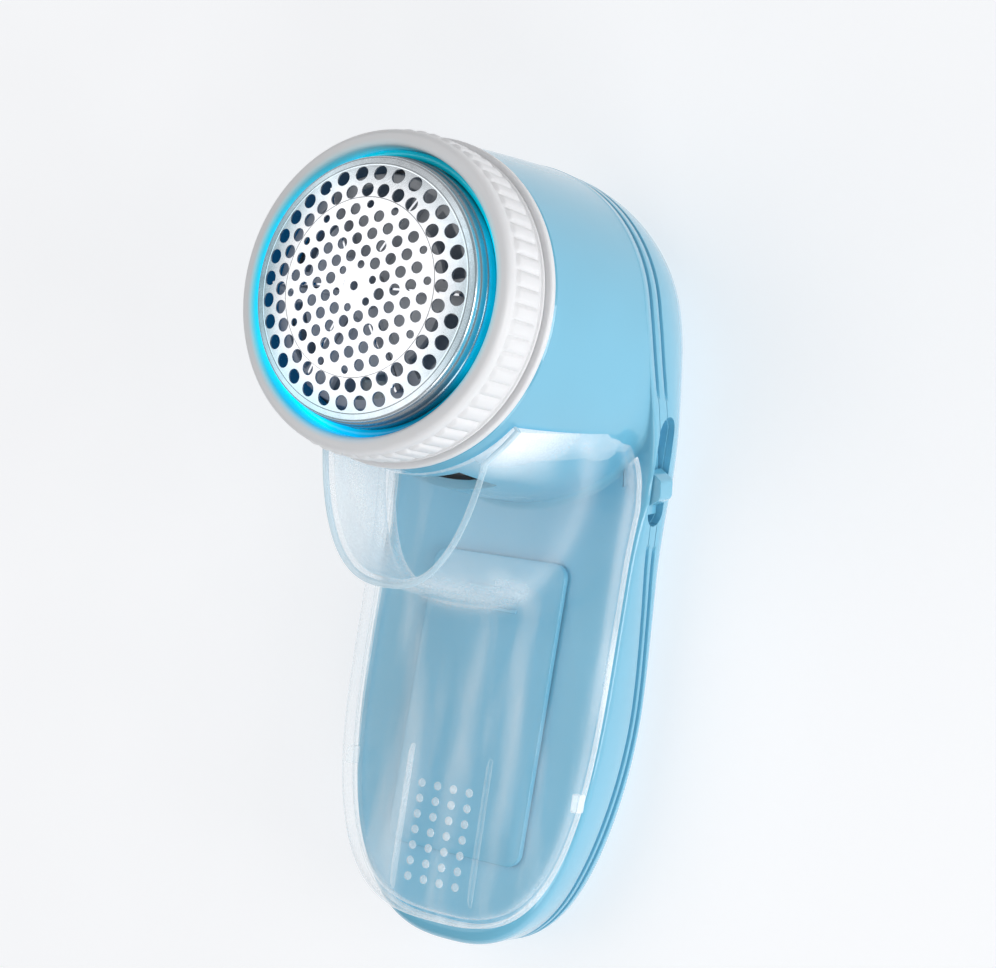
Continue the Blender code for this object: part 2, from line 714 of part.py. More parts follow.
def collector_solid(name, off):
    """The collector's shape as a closed solid, smaller all round by off and open to below."""
    steps = 56
    centre = (0.0, -42.0)
    angles = [math.pi / 2 - 2 * math.pi * i / steps for i in range(steps)]
    shapes = [snout_outline(SNOUT_HALF_W, -6.3, -6.3 - SNOUT_BOTTOM_Y, 2.5, 5.4),
              snout_outline(SNOUT_BASE_HALF_W, -10.0, 44.2, 2.7, 1.8), tub_outline()]
    front, base, tub = [[ray_to_outline(shape, centre, a) for a in angles] for shape in shapes]

    def ring(radii):
        return [(centre[0] + r * math.cos(a), centre[1] + r * math.sin(a)) for r, a in zip(radii, angles)]

    front, base, tub = [inset(ring(r), off) if off else ring(r) for r in (front, base, tub)]
    room = distances(base, tub)

    def from_base(most, share):
        return between(base, tub, [min(most, w * share) for w in room])

    def from_tub(most, share):
        return between(tub, base, [min(most, w * share) for w in room])

    def face(flat, below):
        return at_height(flat, [TUB_Z - TUB_SLOPE * (y - PANEL_Y) - below - off for _, y in flat])

    rim = [RIM_GAP + ledge_z(y) - (4.0 if off else 0.0) for _, y in tub]
    rows = [
        at_height(inset(front, 1.5), SNOUT_Z - off),
        at_height(inset(front, 0.4), SNOUT_Z - off - 0.4),
        at_height(front, SNOUT_Z - off - 1.5),
        at_height(between(front, base, [0.45 * d for d in distances(front, base)]), 43.0),
        at_height(base, SNOUT_BASE_Z),
        face(from_base(1.2, 0.2), -3.4),
        face(from_base(4.5, 0.4), 0.0),
        face(from_tub(4.5, 0.4), 0.6),
        face(from_tub(1.3, 0.15), 1.7),
        face(tub, 4.4),
        at_height(tub, rim),
    ]
    points = [p for row in rows for p in row]
    faces = [tuple(range(steps)), tuple(range(len(points) - steps, len(points)))]
    for k in range(len(rows) - 1):
        for i in range(steps):
            j = (i + 1) % steps
            faces.append((k * steps + i, k * steps + j, (k + 1) * steps + j, (k + 1) * steps + i))
    return add_mesh(name, points, faces, CLEAR)


def collector():
    tub = collector_solid("collector", 0.0)
    for s in (-1, 1):
        rib = box("rib", (s * 9.35 - 0.45, s * 9.35 + 0.45), (-110.0, -84.0), (TUB_Z - 0.5, TUB_Z + 1.4), CLEAR)
        boolean(tub, rib, "UNION")
    boolean(tub, collector_solid("hollow", COLLECTOR_WALL))
    room = [(0.0, 8.0), (35.2, 8.0), (35.2, 18.9), (barrel_r(19.5) + 0.4, 19.5),
            (barrel_r(BARREL_FOOT_Z) + 0.4, BARREL_FOOT_Z), (barrel_r(SNOUT_Z) + 0.4, 58.0), (0.0, 58.0)]
    boolean(tub, turned("barrel_room", room, CLEAR, 72))
    for s in (-1, 1):
        lug = box("lug", tuple(sorted((s * 25.4, s * 27.8))), (-90.0, -86.6), (18.4, 21.0), CLEAR)
        boolean(tub, lug, "UNION")
    return tub


# ---------------------------------------------------------------- battery compartment

def battery_parts():
    frame = box("battery_bay", (-16.4, 16.4), (-102.8, -45.2), (2.0, 13.6), GREY)
    boolean(frame, box("cut", (-15.1, 15.1), (-101.4, -46.6), (0.0, 17.0), GREY))
    for i, x in enumerate((-7.4, 7.4)):
        add_cell(f"battery_cell_{i + 1}", x, flip=bool(i))
        coil(f"contact_spring_{i + 1}", (x, CELL_Z), 3.6, 0.35, -100.9, CELL_TOP_Y - CELL_LENGTH - 0.3, 1.75,
             STEEL, axis="y")
    box("contact_plate", (-13.0, 13.0), (-47.3, -46.9), (3.5, 13.4), STEEL)
    high, low = DOOR_Y[1], DOOR_Y[0]
    door = sloped_plate("battery_door", DOOR_HALF_W, high, low, RIM_GAP, RIM_GAP + DOOR_THICK)
    edge = door.modifiers.new("edges", "BEVEL")
    edge.width = 0.45 * MM
    edge.segments = 1
    for y in (-50.0, -52.0, -54.0):
        boolean(door, sloped_plate("ridge", 6.0, y, y - 0.8, RIM_GAP + 0.8, RIM_GAP + DOOR_THICK + 0.35), "UNION")


def sloped_plate(name, half_w, high_y, low_y, bottom, top):
    """A plate parallel to the panel, from bottom to top above it."""
    outline = [(high_y, panel_z(high_y) + bottom), (low_y, panel_z(low_y) + bottom),
               (low_y, panel_z(low_y) + top), (high_y, panel_z(high_y) + top)]
    return prism(name, outline, -half_w, half_w, BLUE, "x")


def add_cell(name, x, flip):
    """An AA cell along Y with its raised terminal at one end."""
    nub_r, nub_length = 2.7, 1.0
    body_length = CELL_LENGTH - nub_length
    profile = [(0.0, 0.0), (CELL_R - 0.5, 0.0), (CELL_R, 0.5), (CELL_R, body_length - 0.5),
               (CELL_R - 0.5, body_length), (nub_r, body_length), (nub_r, CELL_LENGTH), (0.0, CELL_LENGTH)]
    cell = turned(name, profile, CELL, 24)
    turn = Matrix.Rotation(math.radians(90 if flip else -90), 4, "X")
    start = CELL_TOP_Y if flip else CELL_TOP_Y - CELL_LENGTH
    cell.data.transform(Matrix.Translation((x * MM, start * MM, CELL_Z * MM)) @ turn)
    return cell


# ---------------------------------------------------------------- switch and electronics

def switch_parts():
    tray = slanted_box("switch_tray", (24.2, 28.0), -0.15)
    boolean(tray, slanted_box("cut", (25.2, 29.0), -0.95))
    box("switch_body", (17.6, 23.6), (-28.0, -19.0), (7.4, 12.4), BLACK)
    slider = slanted_box("switch_slider", (25.5, 26.7), 0.0, (-8.4, 4.6), (-1.8, 1.8))
    boolean(slider, slanted_box("stem", (26.5, 28.6), 0.0, (-5.4, 0.4), (-1.5, 1.5)), "UNION")
    boolean(slider, slanted_box("thumb_block", (28.4, 32.3), 0.0, (-6.4, 0.6), (-2.5, 2.5)), "UNION")
    box("circuit_board", (-12.0, 12.0), (-22.0, 2.0), (15.0, 16.6), BOARD)


def build():
    for old in list(bpy.data.objects):
        bpy.data.objects.remove(old)
    front_shell()
    seam_band()
    rear_shell()
    case_screws()
    head_collar()
    glow_leds()
    lock_ring()
    light_ring()
    foil_cap()
    cutter_carrier()
    cutter_blades()
    hub_cap()
    drive_train()
    lint_chute()
    collector()
    battery_parts()
    switch_parts()


build()
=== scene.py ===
import json
from math import copysign, cos, hypot, pi, radians, sin, sqrt

import bmesh
import bpy
from mathutils import Matrix, Vector
from mathutils.geometry import delaunay_2d_cdt

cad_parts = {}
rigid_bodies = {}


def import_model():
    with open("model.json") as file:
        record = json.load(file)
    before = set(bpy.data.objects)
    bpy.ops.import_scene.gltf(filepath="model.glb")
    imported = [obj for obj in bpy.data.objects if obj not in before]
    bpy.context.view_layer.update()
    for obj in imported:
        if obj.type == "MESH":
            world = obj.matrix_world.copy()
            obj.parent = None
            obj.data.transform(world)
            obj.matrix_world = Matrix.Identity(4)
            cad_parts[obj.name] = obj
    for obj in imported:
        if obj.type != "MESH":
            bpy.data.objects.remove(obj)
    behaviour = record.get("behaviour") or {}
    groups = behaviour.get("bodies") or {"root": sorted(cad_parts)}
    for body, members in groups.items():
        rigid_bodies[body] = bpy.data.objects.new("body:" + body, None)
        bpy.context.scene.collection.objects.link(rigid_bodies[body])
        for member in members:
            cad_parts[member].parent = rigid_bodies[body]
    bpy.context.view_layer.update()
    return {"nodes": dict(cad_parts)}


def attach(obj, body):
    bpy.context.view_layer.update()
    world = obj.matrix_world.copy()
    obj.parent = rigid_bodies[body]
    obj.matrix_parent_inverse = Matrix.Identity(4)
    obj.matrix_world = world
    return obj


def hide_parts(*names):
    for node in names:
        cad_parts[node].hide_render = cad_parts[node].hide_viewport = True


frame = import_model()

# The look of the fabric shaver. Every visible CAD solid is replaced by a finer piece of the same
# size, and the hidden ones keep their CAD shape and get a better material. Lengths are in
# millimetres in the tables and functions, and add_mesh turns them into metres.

MM = 0.001
AXIS = (0.0, 0.0)         # the head's axis, x and y

# The body's outline, as in the CAD
HEAD_R = 32.8
HANDLE_W = 29.2
NECK_END_Y = -45.0
TIP_START_Y = -60.0
TIP_Y = -120.8
TIP_POWER = 2.65
PANEL_Z = 15.6
PANEL_Y = -40.0
PANEL_SLOPE = 0.05
LEDGE = 2.6
WALL = 1.8
BARREL_TOP_Z = 59.3
BARREL_TOP_R = 30.2
BARREL_FOOT_Z = 28.0
COLUMNS = 336

REAR_SCREWS = ((-10.0, 10.0), (10.0, 10.0), (0.0, -108.0))
REAR_WALL = 1.6

# Openings in the front shell: x and y of the battery door's, y and z of the lint window's
DOOR_OPENING = ((-14.8, 14.8), (-102.4, -44.7))
LINT_WINDOW = ((-40.0, -20.0), (38.0, 51.5))
LINT_WINDOW_HALF = 10.0

# Seam grooves
GROOVE_DEPTH = 1.4
GROOVE_SIDE = 0.46        # how far a groove's floor runs into each piece
GROOVE_EDGE = 0.22        # rounding of its edges

# Collar under the lock ring, lock ring and the lit ring inside it
COLLAR_R = 30.5
COLLAR_LOW_Z = 59.7
COLLAR_HIGH_Z = 61.3
RIBS = 64
RIB_VALLEY_R = 29.1
RIB_CREST_R = 29.7
RING_INNER_R = 26.1
RING_LOW_Z = 61.7

# Foil
FOIL_TOP_Z = 77.7
FOIL_SPHERE_R = 99.5
FOIL_R = 23.2
FOIL_SKIN = 0.4
HOLE_PITCH = 3.21
HOLE_R = 1.08
SMALL_HOLE_R = 0.76
CENTRE_HOLE_R = 0.85
FIELD_TURN = radians(18.0)
HOLES_PER_RING = 32
HOLE_RINGS = ((17.37, 1.26, 14.9), (20.5, 1.35, 9.27))   # ring radius, hole radius, first angle
HOLE_SIDES = 22
PRESSED_RINGS = (0.0159, 0.0022, 0.02215)                # faint circles in the metal, in metres

# Cutter
CARRIER_LOW_Z = 70.8
CARRIER_HIGH_Z = 72.0
BLADES = 6

# Collector
COLLECTOR_WALL = 1.5
SNOUT_Z = 56.3
SNOUT_BASE_Z = 30.0
TUB_Z = 24.4
TUB_SLOPE = 0.022
TUB_TIP_Y = -116.8
TUB_TIP_POWER = 3.0
TUB_INSET = 0.8
# Half width, centre y, height and squareness of the snout's U, then the wings' radius and top y
SNOUT_FRONT = (19.5, -6.3, 45.6, 2.5, 32.4, -21.2)
SNOUT_BASE = (25.4, -10.0, 44.2, 2.7, 33.4, -18.4)
CROWN_IN = 3.8             # rounding of the tub's front edge, inwards and down
CROWN_DOWN = 3.2
SHOULDER_Y = -28.5
TUB_TOP_Y = -17.2
RIM_GAP = 0.35
RIB_X = 9.2
BUMP_ROWS = 7
BUMP_COLUMNS = 4
BUMP_PITCH = (3.74, 3.07)
BUMP_TOP_Y = -90.2
BUMP_R = 0.85
BUMP_HEIGHT = 0.45
TUB_CENTRE = (0.0, -42.0)  # rays from here link the snout's outlines to the tub's
CORNER_REACH = 6           # how many points each way inset looks, so that sharp corners don't fold
BARREL_GAP = 0.35

# Battery lid, x and y
LID = ((-15.6, 15.6), (-103.5, -43.7))
LID_RIDGES_Y = (-50.0, -52.0, -54.0)

# Switch slot
SLOT_CENTRE = (-23.3, 12.7)
SLOT_SIZE = (21.6, 5.8)
SLOT_SLOPE = radians(10.5)
TRAY_FLOOR_X = 27.0

# Camera
CAMERA_AT = (0.2112, -0.0388, 0.3568)
CAMERA_LOOK = (-0.5333, 0.0228, -0.8456)
CAMERA_UP = (-0.1055, 0.9900, 0.0932)
LENS_MM = 72.29
SENSOR_MM = 36.0

# Studio: each light's name, place, size in metres, watts and colour
FLOOR_HALF = 1.6
FLOOR_Z = -0.0004
LIGHT_AIM = (0.0, -0.03, 0.03)
LIGHTS = (("foil_side", (-0.56, 0.03, 0.86), (0.95, 0.95), 2.9, (1.0, 1.0, 1.0)),
          ("barrel_side", (0.80, -0.06, 0.24), (0.42, 0.36), 2.75, (1.0, 1.0, 1.0)),
          ("low_side", (0.45, -0.55, 0.35), (0.30, 0.45), 1.2, (0.95, 0.98, 1.0)))
SKY_STRENGTH = 0.32
STUDIO_WHITE = (0.97, 0.98, 1.0, 1.0)

# Colours, linear
BLUE = (0.172, 0.510, 0.700)
WHITE = (0.82, 0.82, 0.83)
GLOW_CYAN = (0.0, 0.72, 0.92)
GLOW_DEEP = (0.0, 0.20, 0.50)
# Colour of the lamp's reflection that is painted on the foil's metal
PAINTED_GLOW_ON_METAL = (0.30, 0.74, 0.92)


# ---- materials

class Nodes:
    """A new node material and short calls to add to it."""

    def __init__(self, name):
        self.material = bpy.data.materials.new(name)
        self.material.use_nodes = True
        self.tree = self.material.node_tree
        self.shader = self.tree.nodes["Principled BSDF"]
        self.place = self.add("TexCoord", {}, "Object")

    def add(self, kind, inputs, output, **settings):
        """Adds a node, feeds its inputs, by name or number, and returns one of its outputs."""
        node = self.tree.nodes.new("ShaderNode" + kind)
        for key, value in settings.items():
            setattr(node, key, value)
        for key, value in inputs.items():
            self.feed(node.inputs[key], value)
        return node.outputs[output]

    def feed(self, socket, value):
        """Gives an input another node's output, or a number or colour of its own."""
        if isinstance(value, bpy.types.NodeSocket):
            self.tree.links.new(value, socket)
        elif socket.type == "RGBA":
            socket.default_value = (*value[:3], 1.0)
        else:
            socket.default_value = value

    def set(self, **values):
        """Feeds the shader's inputs."""
        for key, value in values.items():
            self.feed(self.shader.inputs[key.replace("_", " ")], value)

    def apart(self):
        """The object's own X, Y and Z, in metres."""
        return self.add("SeparateXYZ", {"Vector": self.place}, "X").node.outputs[:3]

    def noise(self, scale, detail=3.0, stretch=None):
        """Noise whose features are about 1 / scale metres across."""
        place = self.place
        if stretch:
            place = self.add("Mapping", {"Vector": place, "Scale": stretch}, "Vector")
        return self.add("TexNoise", {"Vector": place, "Scale": scale, "Detail": detail}, "Fac")

    def span(self, value, low, high, start=0.3, end=0.7):
        """Maps a value from start..end to low..high."""
        ends = {"From Min": start, "From Max": end, "To Min": low, "To Max": high}
        return self.add("MapRange", {"Value": value, **ends}, "Result")

    def vary(self, scale, low, high, detail=3.0):
        """Noise that goes from low to high."""
        return self.span(self.noise(scale, detail), low, high)

    def mix(self, factor, first, second):
        """Mixes two colours; inputs 6 and 7 and output 2 are the node's colour sockets."""
        return self.add("Mix", {"Factor": factor, 6: first, 7: second}, 2, data_type="RGBA")

    def drift(self, colour, scale, spread):
        """A colour that varies slowly, by a part of itself."""
        return self.mix(self.vary(scale, 0.0, 1.0, 2.0), shade(colour, 1 - spread), shade(colour, 1 + spread))

    def math(self, operation, *values):
        """One Math node, with a value for each input that its operation reads."""
        return self.add("Math", dict(enumerate(values)), "Value", operation=operation)

    def chain(self, operation, result, *others):
        """Applies a two-input operation to the values, from left to right."""
        for other in others:
            result = self.math(operation, result, other)
        return result

    def times(self, *values):
        return self.chain("MULTIPLY", *values)

    def squares(self, x, y):
        """The squared distance from the head's axis."""
        return self.math("ADD", self.times(x, x), self.times(y, y))

    def bump(self, height, strength, distance, after=None):
        inputs = {"Strength": strength, "Distance": distance, "Height": height}
        if after:
            inputs["Normal"] = after
        return self.add("Bump", inputs, "Normal")

    def grain(self, scale, strength, distance, after=None):
        """A bump made of noise."""
        return self.bump(self.noise(scale, 2.0), strength, distance, after)


def shade(colour, factor):
    return tuple(min(c * factor, 1.0) for c in colour)


def plastic(name, colour, rough):
    """Moulded plastic: slow colour drift, a fine spark texture and uneven gloss."""
    n = Nodes(name)
    n.set(Base_Color=n.drift(colour, 45.0, 0.04), Roughness=n.vary(220.0, rough * 0.85, rough * 1.2, 4.0),
          Normal=n.grain(1400.0, 0.05, 0.00004), IOR=1.48, Coat_Roughness=0.08)
    return n.material


def body_plastic():
    """Glossy blue shell with a clear coat and very shallow waves."""
    n = Nodes("body_blue")
    fine = n.grain(1700.0, 0.05, 0.00003)
    n.set(Base_Color=n.drift(BLUE, 30.0, 0.03), Roughness=n.vary(180.0, 0.20, 0.27, 4.0),
          Normal=n.bump(n.noise(60.0, 1.0), 0.05, 0.0004, fine), IOR=1.5, Coat_Weight=0.7,
          Coat_Roughness=0.05)
    return n.material


def ring_plastic():
    """White plastic, with the lamp's glow painted on the lock ring's inner edge as colour and emission."""
    n = Nodes("white_plastic")
    x, y, z = n.apart()
    hue, lamp_strength_painted_shade = glow_round(n, x, y)
    radius = n.math("SQRT", n.squares(x, y))
    # Painted glow: the lamp's colour is painted on the plastic beside it, strongest at the inner edge, and
    # made to shine by emission.
    near = n.math("POWER", n.span(radius, 1.0, 0.0, RING_INNER_R * MM, 0.0276), 1.6)
    front = n.span(z, 0.0, 1.0, 0.0685, 0.0700)
    away = n.span(radius, 0.0, 1.0, 0.0252, 0.0256)
    painted_glow = n.times(near, front, away, lamp_strength_painted_shade)
    n.set(Base_Color=n.mix(n.times(painted_glow, 0.85), n.drift(WHITE, 50.0, 0.02), hue),
          Roughness=n.vary(300.0, 0.34, 0.44), Normal=n.grain(1600.0, 0.06, 0.00003),
          Emission_Color=hue, Emission_Strength=n.times(painted_glow, 0.55), IOR=1.47,
          Subsurface_Weight=0.12, Subsurface_Scale=0.0015, Subsurface_Radius=(1.0, 0.9, 0.85))
    return n.material


def pressed_rings(n, radius):
    """A height that rises at the foil's faint circles."""
    rings = [n.math("ABSOLUTE", n.math("SUBTRACT", radius, ring)) for ring in PRESSED_RINGS]
    return n.chain("MAXIMUM", *[n.span(near, 1.0, 0.0, 0.00005, 0.00022) for near in rings])


def foil_metal():
    """Bright nickel foil with lathe marks; by place it gets painted shade on its side wall, a painted lamp
    reflection near its edge and a painted glow under its skin.
    """
    n = Nodes("foil_metal")
    x, y, z = n.apart()
    squares = n.squares(x, y)
    radius = n.math("SQRT", squares)
    lathe = n.bump(n.math("SINE", n.times(radius, 26000.0)), 0.03, 0.00002)
    drop = n.math("DIVIDE", squares, 2 * FOIL_SPHERE_R * MM)
    # Painted glow: under the skin and in the hole walls the foil is given a glowing blue instead of metal,
    # brighter at the left and painted dark as shade at the right.
    under = n.span(n.chain("SUBTRACT", FOIL_TOP_Z * MM, drop, z), 0.0, 1.0, 0.00025, 0.00035)
    inside = n.times(under, n.math("LESS_THAN", radius, 0.02338))
    lit = n.span(n.math("MULTIPLY_ADD", y, 0.9, x), 1.0, 0.0, -0.012, 0.012)
    glow = n.mix(lit, (0.05, 0.09, 0.14), (0.005, 0.14, 0.34))
    # Painted shade: the stepped side wall under the rim is darkened.
    wall = n.times(n.span(z, 1.0, 0.0, 0.0728, 0.0742), n.math("GREATER_THAN", radius, 0.0236), 0.75)
    # Painted reflection: the lamp's cyan is painted on the metal towards the foil's edge.
    painted_lamp_reflection = n.times(n.span(radius, 0.0, 0.6, 0.0175, 0.0232), glow_round(n, x, y)[1])
    outside = n.mix(n.vary(260.0, 0.0, 1.0), (0.86, 0.87, 0.90), (0.93, 0.94, 0.96))
    outside = n.mix(painted_lamp_reflection, n.mix(wall, outside, (0.16, 0.19, 0.23)), PAINTED_GLOW_ON_METAL)
    n.set(Base_Color=n.mix(inside, outside, glow), Roughness=n.vary(700.0, 0.20, 0.28),
          Normal=n.bump(pressed_rings(n, radius), 0.5, 0.00006, lathe), Emission_Color=glow,
          Emission_Strength=n.times(inside, 0.22), Metallic=n.math("SUBTRACT", 1.0, n.times(inside, 0.7)))
    return n.material


def steel(name, colour, rough):
    """Drawn steel with fine marks across it."""
    n = Nodes(name)
    marks = n.noise(900.0, 4.0, (1.0, 1.0, 12.0))
    n.set(Base_Color=n.mix(n.span(marks, 0.0, 1.0), shade(colour, 0.92), shade(colour, 1.05)),
          Roughness=n.span(marks, rough * 0.8, rough * 1.3), Normal=n.bump(marks, 0.08, 0.00003),
          Metallic=1.0)
    return n.material


def clear_plastic(name, tint=(0.95, 0.98, 1.0), haze=0.012):
    """Clear styrene: whiter where it is seen edge on, with streaky painted highlights, a painted white
    reflection by the ring and a faint painted white glow.
    """
    n = Nodes(name)
    _, y, z = n.apart()
    # Painted highlights: streaky whitening, and a white patch near the ring that is a painted reflection.
    painted_highlight_streaks = n.span(n.noise(75.0, 3.0, (1.8, 0.25, 0.7)), 0.0, 0.24, 0.50, 0.74)
    cloud = n.noise(32.0, 2.0)
    painted_reflection_by_ring = n.times(n.span(y, 0.0, 0.55, -0.0300, -0.0235), n.span(z, 0.0, 1.0, 0.036, 0.050))
    body = n.chain("ADD", painted_highlight_streaks, n.span(cloud, haze * 0.6, haze * 1.6), painted_reflection_by_ring)
    speck = n.span(n.noise(2600.0, 2.0), 0.75, 1.2, 0.40, 0.62)
    edge = n.math("POWER", n.add("LayerWeight", {"Blend": 0.45}, "Facing"), 2.6)
    opacity = n.math("MINIMUM", n.math("ADD", n.times(edge, speck, 1.15), body), 0.97)
    # The even white emission is a painted glow that makes the hazy and edge-on parts whiter.
    n.set(Base_Color=n.mix(n.span(cloud, 0.0, 1.0), shade(tint, 0.98), tint), Alpha=opacity,
          Roughness=n.vary(400.0, 0.05, 0.12),
          Normal=n.grain(1500.0, 0.06, 0.00004, n.grain(90.0, 0.10, 0.0006)), IOR=1.55,
          Coat_Weight=0.8, Coat_Roughness=0.04, Emission_Color=(1.0, 1.0, 1.0), Emission_Strength=0.10)
    return n.material


def glow_round(n, x, y):
    """The lamp's colour and strength round the head: cyan, deep blue below; its strength is painted lower at
    the right and lower right as shade, and lower towards the top.
    """
    low = n.span(y, 1.0, 0.0, -0.025, -0.012)
    right = n.span(x, 0.0, 1.0, -0.008, 0.018)
    deep = n.times(low, n.math("MULTIPLY_ADD", right, 0.5, 0.5))
    high = n.span(y, 0.0, 0.75, 0.010, 0.025)
    # Painted shade: the lamp's strength falls at the right and lower right, and is also lowered towards the
    # top.
    lamp_strength_painted_shade = n.chain("SUBTRACT", 1.0, n.times(low, right, 0.9), n.times(right, 0.45), high)
    return n.mix(deep, GLOW_CYAN, GLOW_DEEP), n.math("MAXIMUM", lamp_strength_painted_shade, 0.04)


def light_guide():
    """The lit ring under the foil's edge, with painted shade in its strength."""
    n = Nodes("light_guide")
    hue, lamp_strength_painted_shade = glow_round(n, *n.apart()[:2])
    n.set(Base_Color=hue, Roughness=n.vary(300.0, 0.15, 0.3), Emission_Color=hue,
          Emission_Strength=n.times(lamp_strength_painted_shade, n.vary(180.0, 0.85, 1.15, 2.0), 1.3))
    return n.material


def board_material():
    """Green solder mask over faint square tracks."""
    n = Nodes("circuit_board")
    tracks = n.add("TexBrick", {"Vector": n.place, "Scale": 420.0, "Mortar Size": 0.03}, "Fac")
    n.set(Base_Color=n.mix(tracks, (0.01, 0.16, 0.06), (0.03, 0.30, 0.12)),
          Roughness=n.vary(500.0, 0.35, 0.5), Normal=n.bump(tracks, 0.2, 0.00005))
    return n.material


def battery_sleeve():
    """A plain foil sleeve: dark along most of the cell and copper at one end."""
    n = Nodes("battery_sleeve")
    copper = n.span(n.apart()[1], 0.0, 1.0, -0.0625, -0.0620)
    n.set(Base_Color=n.mix(copper, (0.03, 0.032, 0.036), (0.55, 0.27, 0.12)),
          Roughness=n.vary(300.0, 0.22, 0.34), Metallic=0.6)
    return n.material


def floor_material():
    """A pale floor that shines a little, so that it stays plain and almost free of shadows."""
    n = Nodes("studio_floor")
    n.set(Base_Color=n.mix(n.vary(6.0, 0.0, 1.0), (0.50, 0.50, 0.505), (0.52, 0.52, 0.525)),
          Roughness=n.vary(30.0, 0.45, 0.6), Normal=n.grain(900.0, 0.03, 0.0001),
          Emission_Color=STUDIO_WHITE, Emission_Strength=0.58)
    return n.material


# ---- mesh helpers

def add_mesh(name, points, faces, material, body, nodes=(), sharp=32.0):
    """Makes a piece from points in millimetres that rides on a body and stands for CAD nodes."""
    mesh = bpy.data.meshes.new(name)
    mesh.from_pydata([tuple(c * MM for c in p) for p in points], [], faces)
    made = bpy.data.objects.new(name, mesh)
    bpy.context.collection.objects.link(made)
    face_out(mesh)
    mesh.materials.append(material)
    smooth(made, sharp)
    if body:
        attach(made, body)
    if nodes:
        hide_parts(*nodes)
    return made


def belt(low, high, n):
    """The faces between two closed rows of n points, given each row's first index."""
    return [(low + i, low + (i + 1) % n, high + (i + 1) % n, high + i) for i in range(n)]


def closed_faces(n, rows=2):
    """The faces of a solid made of closed rows of n points, with the first and last row filled in."""
    faces = [tuple(range(n)), tuple(range((rows - 1) * n, rows * n))]
    for k in range(rows - 1):
        faces += belt(k * n, (k + 1) * n, n)
    return faces


def face_out(mesh):
    """Turns every face of a closed mesh outwards."""
    edit = bmesh.new()
    edit.from_mesh(mesh)
    bmesh.ops.recalc_face_normals(edit, faces=edit.faces)
    edit.to_mesh(mesh)
    edit.free()


def smooth(piece, angle=32.0):
    piece.data.shade_smooth()
    piece.data.set_sharp_from_angle(angle=radians(angle))


def skin(name, outer, inner, material, body, nodes=(), cap=False, sharp=32.0):
    """A wall between two stacks of closed rows; cap fills each stack's last row across."""
    rows = outer + inner[::-1]
    count = len(outer[0])
    points = [p for row in rows for p in row]
    faces = []
    for k in range(len(rows)):
        if cap and k == len(outer) - 1:
            continue
        faces += belt(k * count, (k + 1) % len(rows) * count, count)
    if cap:
        top = (len(outer) - 1) * count
        faces.append(tuple(range(top, top + count)))
        faces.append(tuple(range(top + count, top + 2 * count)))
    return add_mesh(name, points, faces, material, body, nodes, sharp)


def turned(name, profile, material, body, nodes=(), steps=160, centre=(0.0, 0.0)):
    """Spins a closed profile of (radius, height) points about an upright axis."""
    points = []
    start = []
    for r, z in profile:
        start.append(len(points))
        angles = circle(steps) if r else [0.0]
        points += [(*around(centre, r, a), z) for a in angles]
    faces = []
    for k in range(len(profile)):
        m = (k + 1) % len(profile)
        here, there = start[k], start[m]
        if profile[k][0] == 0.0 and profile[m][0] == 0.0:
            continue
        if profile[k][0] == 0.0:
            faces += [(here, there + (i + 1) % steps, there + i) for i in range(steps)]
        elif profile[m][0] == 0.0:
            faces += [(here + i, here + (i + 1) % steps, there) for i in range(steps)]
        else:
            faces += belt(here, there, steps)
    return add_mesh(name, points, faces, material, body, nodes)


def prism(name, outline, low, high, material, body=None, nodes=(), axis="z"):
    """Pulls a flat outline from low to high along an axis."""
    place = {"z": lambda p, h: (p[0], p[1], h), "x": lambda p, h: (h, p[0], p[1])}[axis]
    points = [place(p, low) for p in outline] + [place(p, high) for p in outline]
    return add_mesh(name, points, closed_faces(len(outline)), material, body, nodes)


def rounded(piece, width, segments=3):
    """Rounds the piece's edges by a width in millimetres."""
    step = piece.modifiers.new("edges", "BEVEL")
    step.width = width * MM
    step.segments = segments
    step.limit_method = "ANGLE"
    step.angle_limit = radians(30.0)
    step.harden_normals = True
    return piece


def apply_modifiers(piece):
    bpy.context.view_layer.update()
    solid = piece.evaluated_get(bpy.context.evaluated_depsgraph_get())
    mesh = bpy.data.meshes.new_from_object(solid)
    piece.modifiers.clear()
    piece.data = mesh


def carve(piece, tools, sharp=32.0):
    """Cuts the tools out of the piece, then removes them."""
    for tool in tools:
        step = piece.modifiers.new("carve", "BOOLEAN")
        step.operation = "DIFFERENCE"
        step.solver = "EXACT"
        step.object = tool
    apply_modifiers(piece)
    for tool in tools:
        bpy.data.objects.remove(tool)
    smooth(piece, sharp)
    return piece


def lerp(a, b, t):
    return a + (b - a) * t


def ease(t):
    """A smooth step from 0 to 1."""
    t = min(max(t, 0.0), 1.0)
    return t * t * (3 - 2 * t)


def arc(steps):
    """Angles of a quarter turn, with both its ends."""
    return [pi / 2 * i / steps for i in range(steps + 1)]


def circle(steps):
    """Angles of a full turn."""
    return [2 * pi * i / steps for i in range(steps)]


def around(centre, r, a):
    """The point at angle a on a circle."""
    return (centre[0] + r * cos(a), centre[1] + r * sin(a))


def corner(cx, cy, r, start, end, steps=5):
    """Points of an arc, angles in degrees."""
    turns = [radians(lerp(start, end, i / steps)) for i in range(steps + 1)]
    return [around((cx, cy), r, a) for a in turns]


def each(value, row):
    """A list with a value for each point of a row, from such a list or from one number."""
    return value if isinstance(value, list) else [value] * len(row)


def at_height(flat, z):
    """Gives a flat row its height."""
    return [(x, y, h) for (x, y), h in zip(flat, each(z, flat))]


